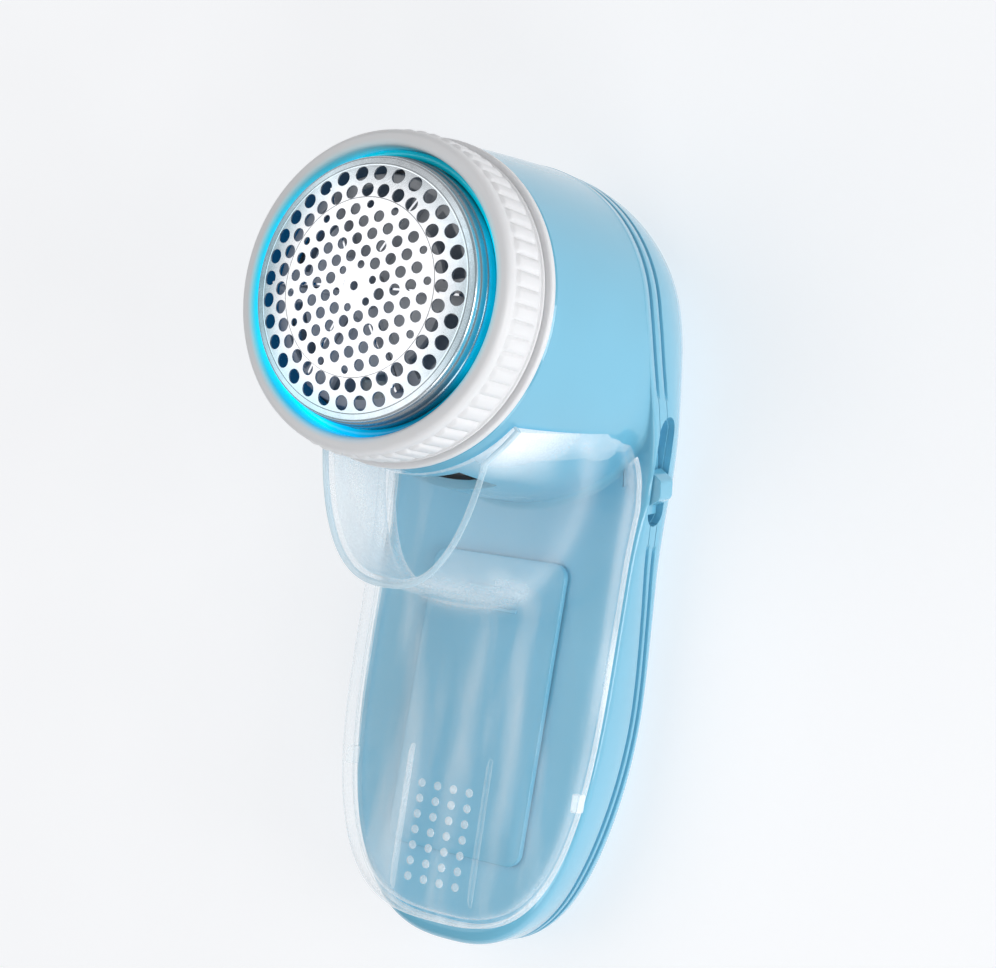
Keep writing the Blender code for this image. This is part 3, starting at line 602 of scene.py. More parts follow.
def inset(flat, distance, reach=1):
    """Moves a clockwise outline inwards, each point square to the chord over reach points each way."""
    n = len(flat)
    moved = []
    for i, ((x, y), step) in enumerate(zip(flat, each(distance, flat))):
        before, after = flat[(i - reach) % n], flat[(i + reach) % n]
        along = Vector((after[0] - before[0], after[1] - before[1])).normalized()
        moved.append((x + along.y * step, y - along.x * step))
    return moved


def between(flat_a, flat_b, amount):
    """Points part of the way from one row to another, amount in millimetres from the first."""
    row = []
    for a, b, gap, step in zip(flat_a, flat_b, distances(flat_a, flat_b), each(amount, flat_a)):
        t = step / gap if gap > 1e-6 else 0.0
        row.append((lerp(a[0], b[0], t), lerp(a[1], b[1], t)))
    return row


def distances(flat_a, flat_b):
    return [hypot(b[0] - a[0], b[1] - a[1]) for a, b in zip(flat_a, flat_b)]


# ---- the body's outline and seam

def half_width(y, handle_w=HANDLE_W, tip_y=TIP_Y, power=TIP_POWER):
    """Half the body's width at y: widening to the head, and a squared oval at the tip."""
    if y > TIP_START_Y:
        return lerp(handle_w, HEAD_R, ease((y - NECK_END_Y) / -NECK_END_Y))
    t = min((TIP_START_Y - y) / (TIP_START_Y - tip_y), 1.0)
    return handle_w * (1 - t ** power) ** (1 / power)


def body_outline():
    """Clockwise from the top of the head, evenly spaced and symmetric about x = 0."""
    half = [(HEAD_R * sin(a), HEAD_R * cos(a)) for a in arc(360)[:-1]]
    half += [(half_width(-0.25 * i), -0.25 * i) for i in range(int(-TIP_START_Y * 4))]
    for a in arc(1600):
        y = lerp(TIP_START_Y, TIP_Y, sin(a))
        half.append((half_width(y), y))
    lengths = [0.0]
    for a, b in zip(half, half[1:]):
        lengths.append(lengths[-1] + hypot(b[0] - a[0], b[1] - a[1]))
    steps = COLUMNS // 2
    right = []
    k = 0
    for i in range(steps + 1):
        want = lengths[-1] * i / steps
        while k < len(lengths) - 2 and lengths[k + 1] < want:
            k += 1
        t = (want - lengths[k]) / (lengths[k + 1] - lengths[k])
        right.append((lerp(half[k][0], half[k + 1][0], t), lerp(half[k][1], half[k + 1][1], t)))
    right[0] = (0.0, HEAD_R)
    right[-1] = (0.0, TIP_Y)
    return right + [(-x, y) for x, y in right[-2:0:-1]]


def seam_z(y):
    """Height of the upper groove: high behind the head, low at the handle's tip."""
    if y > -28.0:
        return lerp(13.2, 28.0, ease((y + 28.0) / 36.0))
    if y > -72.0:
        return lerp(7.2, 13.2, ((y + 72.0) / 44.0) ** 1.6)
    return lerp(7.2, 9.6, ease((-72.0 - y) / 34.0))


def band_height(y):
    return lerp(2.2, 3.4, ease((y + 60.0) / 60.0))


def groove_depth(x, y):
    """The grooves fade out beside the switch slot."""
    depth = GROOVE_DEPTH * lerp(0.75, 1.0, ease((y + 60.0) / 60.0))
    if x < 0:
        return depth
    above = ease((y + 9.5) / 1.6)
    below = ease((-37.5 - y) / 2.5)
    return depth * max(above, below) + 0.02


def panel_z(y):
    return PANEL_Z - PANEL_SLOPE * (y - PANEL_Y)


def ledge_z(y, seam_y=None):
    """Height of the ledge round the front panel, never nearer to the seam than LEDGE."""
    return max(panel_z(y), seam_z(y if seam_y is None else seam_y) + LEDGE)


def barrel_r(z):
    """The barrel's radius, growing from its top down to the head's full radius."""
    t = min(max((BARREL_TOP_Z - z) / (BARREL_TOP_Z - BARREL_FOOT_Z), 0.0), 1.0)
    return BARREL_TOP_R + (HEAD_R - BARREL_TOP_R) * (1.3 * t - 0.3 * t * t)


def circle_row(flat, radius):
    """Moves each point of a row to a distance from the head's axis, in its own direction."""
    return [(x * r / hypot(x, y), y * r / hypot(x, y)) for (x, y), r in zip(flat, each(radius, flat))]


# ---- blue shells

def groove_rows(edge, groove, seam, side):
    """Rows of a groove's floor and rounded edge, going up (side 1) or down (side -1) from the seam."""
    rows = [at_height(inset(edge, groove), seam)]
    rows.append(at_height(inset(edge, groove), [z + side * GROOVE_SIDE * 0.7 for z in seam]))
    for a in arc(3):
        level = [z + side * (GROOVE_SIDE + GROOVE_EDGE * (1 - cos(a))) for z in seam]
        rows.append(at_height(inset(edge, [g * 0.3 * (1 - sin(a)) for g in groove]), level))
    return rows


def ledge_rows(outline, edge, foot, room, ledge, base):
    """The ledge's rounded outer edge, wider at the handle's tip."""
    drop = [(z - s) * 0.6 for z, s in zip(ledge, base)]
    reach = [lerp(1.5, 2.8, ease((-95.0 - y) / 20.0)) for _, y in outline]
    reach = [min(c, w * 0.45) for c, w in zip(reach, room)]
    down = [min(max(c, 0.5), d) for c, d in zip(reach, drop)]
    rows = []
    for a in arc(7):
        flat = between(edge, foot, [c * (1 - cos(a)) for c in reach])
        rows.append(at_height(flat, [z - d * (1 - sin(a)) for z, d in zip(ledge, down)]))
    return rows


def barrel_rows(outline, edge, room, inner, off):
    """The hollow at the barrel's foot, sharper above the front panel, and the barrel's wall."""
    sweep = [ease((y + 24.0) / 9.0) for _, y in outline]
    fillet = [lerp(min(1.6, w * 0.4), w * 0.5, t) for w, t in zip(room, sweep)]
    rise = [lerp(1.6, 9.0, t) for t in sweep]
    rows = []
    for a in arc(9):
        level = [z + 0.02 + h * (1 - cos(a)) for z, h in zip(inner, rise)]
        ring = circle_row(outline, [barrel_r(z) - off for z in level])
        rows.append(at_height(between(ring, edge, [f * (1 - sin(a)) for f in fillet]), level))
    start = [z + 0.02 + h for z, h in zip(inner, rise)]
    for k in range(1, 13):
        level = [lerp(z, BARREL_TOP_Z - 0.4, k / 12) for z in start]
        rows.append(at_height(circle_row(outline, [barrel_r(z) - off for z in level]), level))
    return rows


def front_rows(off):
    """Rows of the front shell, from the seam groove over the ledge and up the barrel."""
    outline = body_outline()
    edge = inset(outline, off)
    seam = [seam_z(y) + 0.1 for _, y in outline]
    if off:
        rows = [at_height(edge, seam)]
        base = seam
    else:
        rows = groove_rows(edge, [groove_depth(x, y) for x, y in outline], seam, 1)
        base = [z + GROOVE_SIDE + GROOVE_EDGE + 0.05 for z in seam]
    least = [z + 0.4 for z in base]
    ledge = [max(ledge_z(y) - off, low) for (_, y), low in zip(outline, least)]
    foot = circle_row(outline, [barrel_r(z) - off for z in ledge])
    inner = [max(ledge_z(f[1], p[1]) - off, low) for f, p, low in zip(foot, outline, least)]
    room = distances(edge, foot)
    rows += ledge_rows(outline, edge, foot, room, ledge, base)
    rows += barrel_rows(outline, edge, room, inner, off)
    mouth = BARREL_TOP_R - off - (0.0 if off else 0.3)
    rows.append(at_height(circle_row(outline, mouth), BARREL_TOP_Z))
    return rows


def slot_outline(grow=0.0, steps=14):
    """The stadium outline of the switch slot, as (y, z) points."""
    long_side, short_side = SLOT_SIZE
    r = short_side / 2 + grow
    reach = long_side / 2 - short_side / 2
    points = []
    for end, first in ((1, -90), (-1, 90)):
        points += corner(end * reach, 0.0, r, first, first + 180, steps)
    return [slot_point(u, v) for u, v in points]


def slot_point(u, v):
    """(y, z) of a point u along the slot and v across it."""
    c, s = cos(SLOT_SLOPE), sin(SLOT_SLOPE)
    return (SLOT_CENTRE[0] + u * c - v * s, SLOT_CENTRE[1] + u * s + v * c)


def slot_tool():
    """Cuts the switch slot through the side."""
    return prism("slot_tool", slot_outline(), 24.0, 37.0, tool_material(), axis="x")


def tool_material():
    """A plain material for cutting tools, which are removed after use."""
    found = bpy.data.materials.get("tool")
    return found or bpy.data.materials.new("tool")


def rounded_box(x, y, r, steps=8):
    """A rounded rectangle as a clockwise outline."""
    points = []
    for cx, cy, first in ((x[1] - r, y[1] - r, 90), (x[1] - r, y[0] + r, 0), (x[0] + r, y[0] + r, -90),
                          (x[0] + r, y[1] - r, -180)):
        points += corner(cx, cy, r, first, first - 90, steps)
    return points


def front_shell(blue):
    shell = skin("front_shell_skin", front_rows(0.0), front_rows(WALL), blue, "body", ["front_shell"])
    door = prism("door_tool", rounded_box(*DOOR_OPENING, 2.0), 9.0, 26.0, tool_material())
    window = prism("window_tool", rounded_box(*LINT_WINDOW, 0.5), -LINT_WINDOW_HALF, LINT_WINDOW_HALF,
                   tool_material(), axis="x")
    return carve(shell, [door, window, slot_tool()])


def band_rows():
    """The seam band's outside: a narrow rib between the two grooves."""
    outline = body_outline()
    top = [seam_z(y) - 0.1 for _, y in outline]
    base = [t - band_height(y) + 0.2 for t, (_, y) in zip(top, outline)]
    groove = [groove_depth(x, y) for x, y in outline]
    return groove_rows(outline, groove, top, -1) + groove_rows(outline, groove, base, 1)[::-1]


def seam_band(blue):
    outer = band_rows()
    edge = inset(body_outline(), WALL)
    inner = [at_height(edge, [z for _, _, z in outer[0]]), at_height(edge, [z for _, _, z in outer[-1]])]
    band = skin("seam_band_rib", outer, inner, blue, "body", ["seam_band"])
    return carve(band, [slot_tool()])


def rear_rows(off):
    """Rows of the rear shell, from the lower groove round to the flat back."""
    outline = body_outline()
    edge = inset(outline, off)
    rim = [seam_z(y) - band_height(y) - 0.1 for _, y in outline]
    if off:
        rows = [at_height(edge, rim)]
    else:
        rows = groove_rows(edge, [groove_depth(x, y) for x, y in outline], rim, -1)
    start = [z - GROOVE_SIDE - GROOVE_EDGE - 0.1 for z in rim]
    reach = [lerp(7.5, 15.0, ease((y + 40.0) / 50.0)) for _, y in outline]
    for a in arc(20):
        flat = inset(edge, [r * (1 - cos(a)) for r in reach])
        rows.append(at_height(flat, [off + (z - off) * (1 - sin(a)) for z in start]))
    return rows


def rear_shell(blue, screw_steel):
    """The back with its three screws and the posts that they go into."""
    shell = skin("rear_shell_skin", rear_rows(0.0), rear_rows(REAR_WALL), blue, "body", ["rear_shell"],
                 cap=True)
    holes = []
    for i, at in enumerate(REAR_SCREWS):
        profile = [(0.0, -1.0), (3.4, -1.0), (2.9, 0.4), (2.9, 4.0), (0.0, 4.0)]
        holes.append(turned(f"hole_{i}", profile, tool_material(), None, steps=48, centre=at))
    shell = carve(shell, [slot_tool()] + holes)
    for i, at in enumerate(REAR_SCREWS):
        cross_head_screw(f"screw_head_{i + 1}", at, f"case_screw_{i + 1}", screw_steel)
        profile = [(1.7, 1.7), (3.6, 1.7), (3.6, 6.4), (1.7, 6.4)]
        turned(f"screw_boss_{i + 1}", profile, blue, "body", steps=48, centre=at)
    return shell


def cross_head_screw(name, at, node, material):
    """A screw with a domed head and a cross recess."""
    profile = [(0.0, 0.55), (1.4, 0.62), (2.1, 0.9), (2.5, 1.4), (2.5, 2.0), (1.3, 2.2), (1.3, 13.6),
               (0.0, 14.4)]
    screw = turned(name, profile, material, "body", [node], steps=48, centre=at)
    tools = []
    for i, (w, d) in enumerate(((1.5, 0.3), (0.3, 1.5))):
        outline = [(at[0] - w, at[1] - d), (at[0] - w, at[1] + d), (at[0] + w, at[1] + d),
                   (at[0] + w, at[1] - d)]
        tools.append(prism(f"cross_{i}", outline, 0.0, 1.5, tool_material()))
    return carve(screw, tools)


# ---- head

def head_collar(white):
    """The white flange under the lock ring, with the opening for the lint."""
    low, high = COLLAR_LOW_Z, COLLAR_HIGH_Z
    r = COLLAR_R
    profile = [(4.0, low), (r - 0.5, low)] + corner(r - 0.5, low + 0.5, 0.5, -90, 0)
    profile += corner(r - 0.45, high - 0.45, 0.45, 0, 90) + [(22.8, high), (22.8, 65.0), (21.6, 65.0)]
    profile += [(21.6, high), (4.0, high)]
    collar = turned("collar_flange", profile, white, "body", ["head_collar"], steps=256)
    opening = rounded_box((-8.0, 8.0), (-19.6, -13.6), 1.0)
    return carve(collar, [prism("collar_tool", opening, low - 1, high + 1, tool_material())])


def rib_height(angle):
    """A pillow-shaped rib profile round the ring, from 0 to 1."""
    across = abs((angle * RIBS / (2 * pi)) % 1.0 - 0.5) * 2
    return 1 - across ** 3.2


def lock_ring(white):
    """The ribbed white ring with a rounded front rim."""
    steps = RIBS * 12
    valley = RIB_VALLEY_R
    profile = [(26.9 - 0.8 * cos(a), 72.2 + 0.8 * sin(a), 0) for a in arc(5)]
    profile += [(28.0 + 1.2 * sin(a), 73.0 - 1.5 * (1 - cos(a)), 0) for a in arc(8)]
    body = [(70.9, 0.0), (70.6, 0.35), (70.3, 0.8), (69.9, 1.0), (68.0, 1.0), (66.0, 1.0), (64.2, 1.0),
            (63.7, 0.8), (63.4, 0.35), (63.2, 0.0), (62.6, 0.0)]
    profile += [(valley, z, share) for z, share in body]
    profile += [(valley + 0.35, 62.4, 0), (valley + 0.4, 62.0, 0), (valley + 0.2, 61.75, 0)]
    profile += [(valley - 0.6, RING_LOW_Z, 0), (25.7, RING_LOW_Z, 0), (25.7, 67.0, 0), (24.5, 67.0, 0)]
    profile += [(24.5, 68.4, 0), (RING_INNER_R, 68.4, 0)]
    rows = []
    for r, z, share in profile:
        ribbed = [(r + share * rib_height(a) * (RIB_CREST_R - valley), a) for a in circle(steps)]
        rows.append([(*around(AXIS, out, a), z) for out, a in ribbed])
    split = len(rows) // 2
    return skin("lock_ring_ribbed", rows[:split], rows[:split - 1:-1], white, "lock_ring_body", ["lock_ring"],
                sharp=40.0)


def light_ring(glow):
    """The round-topped clear ring that the lamps light up."""
    profile = [(24.45, 68.75), (25.95, 68.75), (25.95, 69.6)] + corner(25.2, 69.6, 0.75, 0, 180, 8)
    return turned("light_ring_lit", profile, glow, "lock_ring_body", ["light_ring"], steps=256)


def foil_z(r):
    """Height of the foil's dome."""
    return FOIL_TOP_Z - r * r / (2 * FOIL_SPHERE_R)


def foil_holes():
    """(x, y, radius) of each hole: a hexagonal field inside two rings."""
    pitch = HOLE_PITCH
    c, s = cos(FIELD_TURN), sin(FIELD_TURN)
    holes = [(0.0, 0.0, CENTRE_HOLE_R)]
    for i in range(-6, 7):
        for j in range(-6, 7):
            x, y = pitch * (i + j / 2), pitch * j * sqrt(3) / 2
            r = hypot(x, y)
            if r < 0.1 or r > pitch * 4.6:
                continue
            innermost = r < pitch * 1.1
            if innermost:
                x, y = x * 3.93 / r, y * 3.93 / r
            small = innermost or r > pitch * 4.45
            holes.append((x * c - y * s, x * s + y * c, SMALL_HOLE_R if small else HOLE_R))
    for ring_r, radius, phase in HOLE_RINGS:
        for i in range(HOLES_PER_RING):
            a = radians(phase + 360.0 / HOLES_PER_RING * i)
            holes.append((*around(AXIS, ring_r, a), radius))
    return holes


def plate(edge, holes, sides):
    """Triangles of a flat disc with round holes: its points, its triangles and each hole's loop."""
    flat = [Vector(p) for p in edge]
    loops = [list(range(len(edge)))]
    for x, y, r in holes:
        first = len(flat)
        flat += [Vector(around((x, y), r, a)) for a in circle(sides)]
        loops.append(list(range(first, first + sides)))
    edges = [(loop[i], loop[(i + 1) % len(loop)]) for loop in loops for i in range(len(loop))]
    found = delaunay_2d_cdt(flat, edges, [], 0, 1e-6)
    spots, triangles = found[0], found[2]
    kept = []
    for t in triangles:
        c = (spots[t[0]] + spots[t[1]] + spots[t[2]]) / 3
        if not any(hypot(c.x - x, c.y - y) < r * 0.985 for x, y, r in holes):
            kept.append(tuple(t))
    return spots, kept, loops[1:]


def foil_cap(metal):
    """The pierced dome with its stepped side wall and hidden flange."""
    edge_steps = 240
    turn = circle(edge_steps)
    edge = [around(AXIS, FOIL_R, a) for a in turn]
    spots, kept, loops = plate(edge, foil_holes(), HOLE_SIDES)
    n = len(spots)
    points = [(p.x, p.y, foil_z(p.length)) for p in spots]
    points += [(p.x, p.y, foil_z(p.length) - FOIL_SKIN) for p in spots]
    faces = kept + [tuple(n + i for i in reversed(t)) for t in kept]
    for loop in loops:
        for i in range(len(loop)):
            a, b = loop[i], loop[(i + 1) % len(loop)]
            faces.append((a, b, n + b, n + a))
    top = foil_z(FOIL_R)
    wall = [(FOIL_R + 0.25, top - 0.05), (FOIL_R + 0.42, top - 0.18), (FOIL_R + 0.5, top - 0.4)]
    wall += [(23.7, 73.9), (23.72, 73.75), (23.98, 73.6), (24.05, 73.4), (24.05, 72.3)]
    wall += [(24.1, 72.15), (24.3, 72.0), (24.35, 71.8), (24.35, 69.2), (24.2, 69.0), (23.85, 68.9)]
    wall += [(23.85, 66.6), (25.0, 66.6), (25.0, 65.4), (23.3, 65.4), (23.3, 74.0)]
    starts = [0]
    for r, z in wall:
        starts.append(len(points))
        points += [(*around(AXIS, r, a), z) for a in turn]
    starts.append(n)
    for upper, lower in zip(starts, starts[1:]):
        faces += belt(upper, lower, edge_steps)
    cap = add_mesh("foil_pierced", points, faces, metal, "foil_head", ["foil_cap"], sharp=38.0)
    dome_normals(cap.data)
    return cap


def dome_normals(mesh):
    """Gives the pierced dome the exact shading of a sphere, so long triangles don't show."""
    centre = Vector((0.0, 0.0, (FOIL_TOP_Z - FOIL_SPHERE_R) * MM))
    normals = [n.vector.copy() for n in mesh.corner_normals]
    for face in mesh.polygons:
        if abs(face.normal.z) < 0.9 or face.center.z < 74.3 * MM or face.center.xy.length > FOIL_R * MM:
            continue
        side = 1.0 if face.normal.z > 0 else -1.0
        for corner_index in face.loop_indices:
            spot = mesh.vertices[mesh.loops[corner_index].vertex_index].co
            normals[corner_index] = (spot - centre).normalized() * side
    mesh.normals_split_custom_set(normals)


def cutter(white, blade_steel, grey):
    """The carrier disc with its windows, blades on their walls, and the hub cap."""
    low, high = CARRIER_LOW_Z, CARRIER_HIGH_Z
    profile = [(0.0, high + 0.9), (3.0, high + 0.86), (5.0, high + 0.7), (9.0, high + 0.35), (13.5, high)]
    profile += [(20.9, high)] + corner(20.9, high - 0.3, 0.3, 90, 0, 4)
    profile += [(21.2, low), (4.4, low), (4.4, 66.3), (2.9, 66.3), (2.9, low), (0.0, low)]
    disc = turned("cutter_disc", profile, white, "cutter", ["cutter_carrier"], steps=180)
    tools = []
    for k in range(BLADES):
        mid = 360.0 / BLADES * (k + 0.5)
        sweep = [radians(mid - 20 + 40 * i / 16) for i in range(17)]
        outline = [around(AXIS, 19.4, a) for a in sweep] + [around(AXIS, 14.9, a) for a in sweep[::-1]]
        tools.append(prism(f"window_{k}", outline, low - 1, high + 1, tool_material()))
    carve(disc, tools)
    for k in range(BLADES):
        a = radians(360.0 / BLADES * k)
        under = 0.62
        side = [(5.6, high + 0.85), (9.0, high + 0.45), (13.5, high + 0.15), (20.2, high + 0.15)]
        side += [(r, foil_z(r) - under) for r in (20.4, 16.0, 11.0, 6.0)]
        upright(f"blade_{k + 1}", side, 0.25, a, 0.0, blade_steel, f"cutter_blade_{k + 1}")
        wall = [(5.0, high + 0.2), (19.6, high - 0.4), (19.6, high + 1.5), (6.0, high + 2.0)]
        upright(f"blade_wall_{k + 1}", wall, 0.4, a, 0.75, white, None)
    cap_profile = [(0.0, high + 1.0), (3.4, high + 1.0), (3.4, high + 2.2)]
    cap_profile += corner(2.6, high + 2.2, 0.8, 0, 80, 5) + [(0.0, high + 3.5)]
    cap = turned("hub_cap_domed", cap_profile, grey, "cutter", ["hub_cap"], steps=64)
    spokes = []
    side = [(0.0, high + 3.0), (4.2, high + 3.0), (4.2, high + 4.4), (0.0, high + 4.4)]
    for k in range(3):
        a = radians(90 + 120 * k)
        spokes.append(upright(f"spoke_{k}", side, 0.3, a, 0.0, tool_material(), None, None))
    carve(cap, spokes)


def upright(name, side, half, angle, shift, material, node, body="cutter"):
    """A thin upright plate that stands along a radius; side is its (radius, height) outline."""
    points = []
    for t in (shift - half, shift + half):
        points += [(r * cos(angle) - t * sin(angle), r * sin(angle) + t * cos(angle), z)
                   for r, z in side]
    made = add_mesh(name, points, closed_faces(len(side)), material, body, [node] if node else ())
    if body:
        rounded(made, 0.08, 2)
    return made


# ---- collector

def ray_to_outline(flat, centre, angle):
    """How far a ray from the centre goes before it leaves the outline."""
    dx, dy = cos(angle), sin(angle)
    best = 0.0
    for a, b in zip(flat, flat[1:] + flat[:1]):
        ex, ey = b[0] - a[0], b[1] - a[1]
        ox, oy = a[0] - centre[0], a[1] - centre[1]
        cross = dx * ey - dy * ex
        if abs(cross) < 1e-9:
            continue
        far = (ox * ey - oy * ex) / cross
        t = (ox * dy - oy * dx) / cross
        if far > 0 and -1e-6 <= t <= 1 + 1e-6:
            best = max(best, far)
    return best


def squared_oval(half_w, centre_y, height, power, steps=720):
    """An oval with squared shoulders; a higher power makes it squarer."""
    points = []
    for a in circle(steps):
        c, s = cos(a), sin(a)
        points.append((half_w * copysign(abs(c) ** (2 / power), c),
                       centre_y + height * copysign(abs(s) ** (2 / power), s)))
    return points


def snout_outline(half_w, centre_y, height, power, hug_r, top_y):
    """The U of the snout, whose sides turn into wings of radius hug_r round the barrel, up to top_y."""
    wing_x = sqrt(hug_r * hug_r - top_y * top_y)
    deepest = 10.0
    points = []
    for x, y in squared_oval(half_w, centre_y, height, power):
        if y > top_y:
            past = min(y - top_y, deepest)
            wide = copysign(max(wing_x - 1.2 * past, 15.0), x) if abs(x) > half_w * 0.6 else x
            points.append((wide, top_y + past))
        elif abs(y) < hug_r:
            round_x = sqrt(hug_r * hug_r - y * y)
            points.append((copysign(max(abs(x), round_x), x) if abs(x) > half_w * 0.6 else x, y))
        else:
            points.append((x, y))
    return points


def tub_outline():
    """The tub's widest outline: round shoulders, a short taper and the tip."""
    wide = HANDLE_W - TUB_INSET
    shoulder = wide + 0.6
    flat_top = 24.5
    right = []
    for a in arc(60)[::-1]:
        x = flat_top + (shoulder - flat_top) * cos(a)
        right.append((x, lerp(SHOULDER_Y, TUB_TOP_Y, sin(a))))
    right += [(lerp(shoulder, wide, ease(i / 28)), SHOULDER_Y - 0.5 * i) for i in range(1, 35)]
    for a in arc(400):
        y = lerp(TIP_START_Y, TUB_TIP_Y, sin(a))
        right.append((half_width(y, wide, TUB_TIP_Y, TUB_TIP_POWER), y))
    return right + [(-x, y) for x, y in right[::-1]]


def collector_outlines(off=0.0, steps=300):
    """The outlines of the snout's front, its base and the tub, from one centre, each moved in by off."""
    angles = [pi / 2 - a for a in circle(steps)]
    shapes = [snout_outline(*SNOUT_FRONT), snout_outline(*SNOUT_BASE), tub_outline()]
    flats = []
    for shape in shapes:
        radii = [ray_to_outline(shape, TUB_CENTRE, a) for a in angles]
        ring = [around(TUB_CENTRE, r, a) for r, a in zip(radii, angles)]
        flats.append(inset(ring, off, CORNER_REACH))
    return flats


def snout_rows(front, base, off):
    """From the snout's rounded front edge down to its base."""
    rows = []
    edge = 0.4 if off else 1.3
    for a in arc(5)[::-1]:
        flat = inset(front, edge * (1 - cos(a)), CORNER_REACH)
        rows.append(at_height(flat, SNOUT_Z - off - edge * (1 - sin(a))))
    for t in (0.2, 0.4, 0.6, 0.8, 1.0):
        flat = between(front, base, [t * d for d in distances(front, base)])
        rows.append(at_height(flat, lerp(SNOUT_Z - off - edge, SNOUT_BASE_Z, t ** 0.9)))
    return rows


def tub_rows(base, tub, off):
    """From the snout's base over the tub's front, round its edge and down to its rim."""
    room = distances(base, tub)

    def face(flat, below):
        return [tub_face_z(y) - below - off for _, y in flat]

    rows = []
    reach = [min(5.0, w * 0.42) for w in room]
    for a in arc(9)[1:]:
        flat = between(base, tub, [r * (1 - cos(a)) for r in reach])
        rows.append(at_height(flat, [lerp(SNOUT_BASE_Z, z, sin(a)) for z in face(flat, 0.0)]))
    round_off = [min(CROWN_IN, w * 0.42) for w in room]
    for a in arc(9):
        flat = between(tub, base, [r * (1 - sin(a)) for r in round_off])
        rows.append(at_height(flat, [z - CROWN_DOWN * (1 - cos(a)) for z in face(flat, 0.2)]))
    rim = [RIM_GAP + ledge_z(y) - (4.0 if off else 0.0) for _, y in tub]
    last = [z for _, _, z in rows[-1]]
    rows.append(at_height(tub, [lerp(a, b, 0.5) for a, b in zip(last, rim)]))
    rows.append(at_height(tub, rim))
    return rows


def collector_solid(name, off, material, body=None, nodes=()):
    """The collector as a closed solid, smaller all round by off."""
    front, base, tub = collector_outlines(off)
    rows = snout_rows(front, base, off) + tub_rows(base, tub, off)
    points = [p for row in rows for p in row]
    faces = closed_faces(len(front), len(rows))
    return add_mesh(name, points, faces, material, body, nodes, sharp=50.0)


def barrel_tool():
    """The room that the collector leaves for the barrel."""
    room = [(0.0, 8.0), (35.2, 8.0), (35.2, 18.9), (barrel_r(19.5) + 0.4, 19.5)]
    room += [(barrel_r(z) + BARREL_GAP, z) for z in (24.0, 28.0, 34.0, 40.0, 46.0, 52.0, 57.0)]
    room += [(0.0, 57.5)]
    return turned("barrel_tool", room, tool_material(), None, steps=360)


def bead(name, flat, heights, r, material):
    """A thin round bead along an outline, cut away where the barrel is."""
    rows = []
    sides = 10
    for a in circle(sides):
        row = inset(flat, r * cos(a), CORNER_REACH)
        rows.append(at_height(row, [z + r * sin(a) for z in heights]))
    split = sides // 2
    made = skin(name, rows[:split], rows[:split - 1:-1], material, "collector_body")
    return carve(made, [barrel_tool()], sharp=60.0)


def collector(clear, edge, painted_dark_edge):
    """The clear lint collector; its pieces cast no shadow, so the inside stays bright."""
    tub = collector_solid("collector_clear", 0.0, clear, "collector_body", ["collector"])
    carve(tub, [collector_solid("hollow", COLLECTOR_WALL, tool_material()), barrel_tool()], sharp=40.0)
    front, _, rim = collector_outlines()
    # The snout's front edge bead takes a blue-grey copy of the clear plastic, which paints it as a dark line
    # of shade.
    bead("snout_rim", inset(front, 0.35, CORNER_REACH), [SNOUT_Z - 0.62] * len(front), 0.6, painted_dark_edge)
    heights = [ledge_z(y) + RIM_GAP + 0.55 for _, y in rim]
    # The tub's rim bead, the lugs and the bumps take a whiter, hazier copy of the clear plastic, a painted
    # highlight.
    bead("tub_rim", inset(rim, 0.25, CORNER_REACH), heights, 0.5, edge)
    for s in (-1, 1):
        side = "left" if s < 0 else "right"
        grip_rib(f"grip_rib_{side}", s * RIB_X, clear)
        snap_lug(f"snap_lug_{side}", s, edge)
    grip_bumps(edge)
    for piece in bpy.data.objects:
        if piece.type == "MESH" and piece.data.materials:
            if piece.data.materials[0] in (clear, edge, painted_dark_edge):
                piece.visible_shadow = False


def tub_face_z(y):
    """Height of the tub's front face."""
    return TUB_Z - TUB_SLOPE * (y - PANEL_Y)


def grip_rib(name, x, material):
    """A raised line on the tub's front, tapering at its top end."""
    side = [(-83.0, -0.6), (-83.0, -0.2), (-84.5, 0.45), (-92.0, 0.5), (-100.0, 0.5), (-107.0, 0.5)]
    side += [(-110.5, 0.1), (-112.0, -0.8)]
    outline = [(y, tub_face_z(y) + lift) for y, lift in side]
    rib = prism(name, outline, x - 0.42, x + 0.42, material, "collector_body", axis="x")
    return rounded(rib, 0.3, 3)


def snap_lug(name, side, material):
    """The small catch on the tub's edge."""
    x = sorted((side * 26.0, side * 27.6))
    outline = rounded_box((-90.2, -86.6), (18.9, 21.6), 0.5, 4)
    lug = prism(name, outline, x[0], x[1], material, "collector_body", axis="x")
    return rounded(lug, 0.25, 2)


def grip_bumps(material):
    """Low domes on the tub's front for the thumb, in seven rows of four."""
    rings, sides, r, height = 5, 20, BUMP_R, BUMP_HEIGHT
    points = []
    faces = []
    for row in range(BUMP_ROWS):
        for column in range(BUMP_COLUMNS):
            cx = (column - (BUMP_COLUMNS - 1) / 2) * BUMP_PITCH[0]
            cy = BUMP_TOP_Y - BUMP_PITCH[1] * row
            top = tub_face_z(cy) - 0.03
            first = len(points)
            for a in arc(rings)[:-1]:
                level = top + height * sin(a)
                points += [(*around((cx, cy), r * cos(a), b), level) for b in circle(sides)]
            points.append((cx, cy, top + height))
            for k in range(rings - 1):
                faces += belt(first + k * sides, first + (k + 1) * sides, sides)
            last = first + (rings - 1) * sides
            faces += [(last + i, last + (i + 1) % sides, last + sides) for i in range(sides)]
            faces.append(tuple(first + i for i in range(sides))[::-1])
    return add_mesh("grip_bumps", points, faces, material, "collector_body", sharp=60.0)


# ---- battery lid and switch

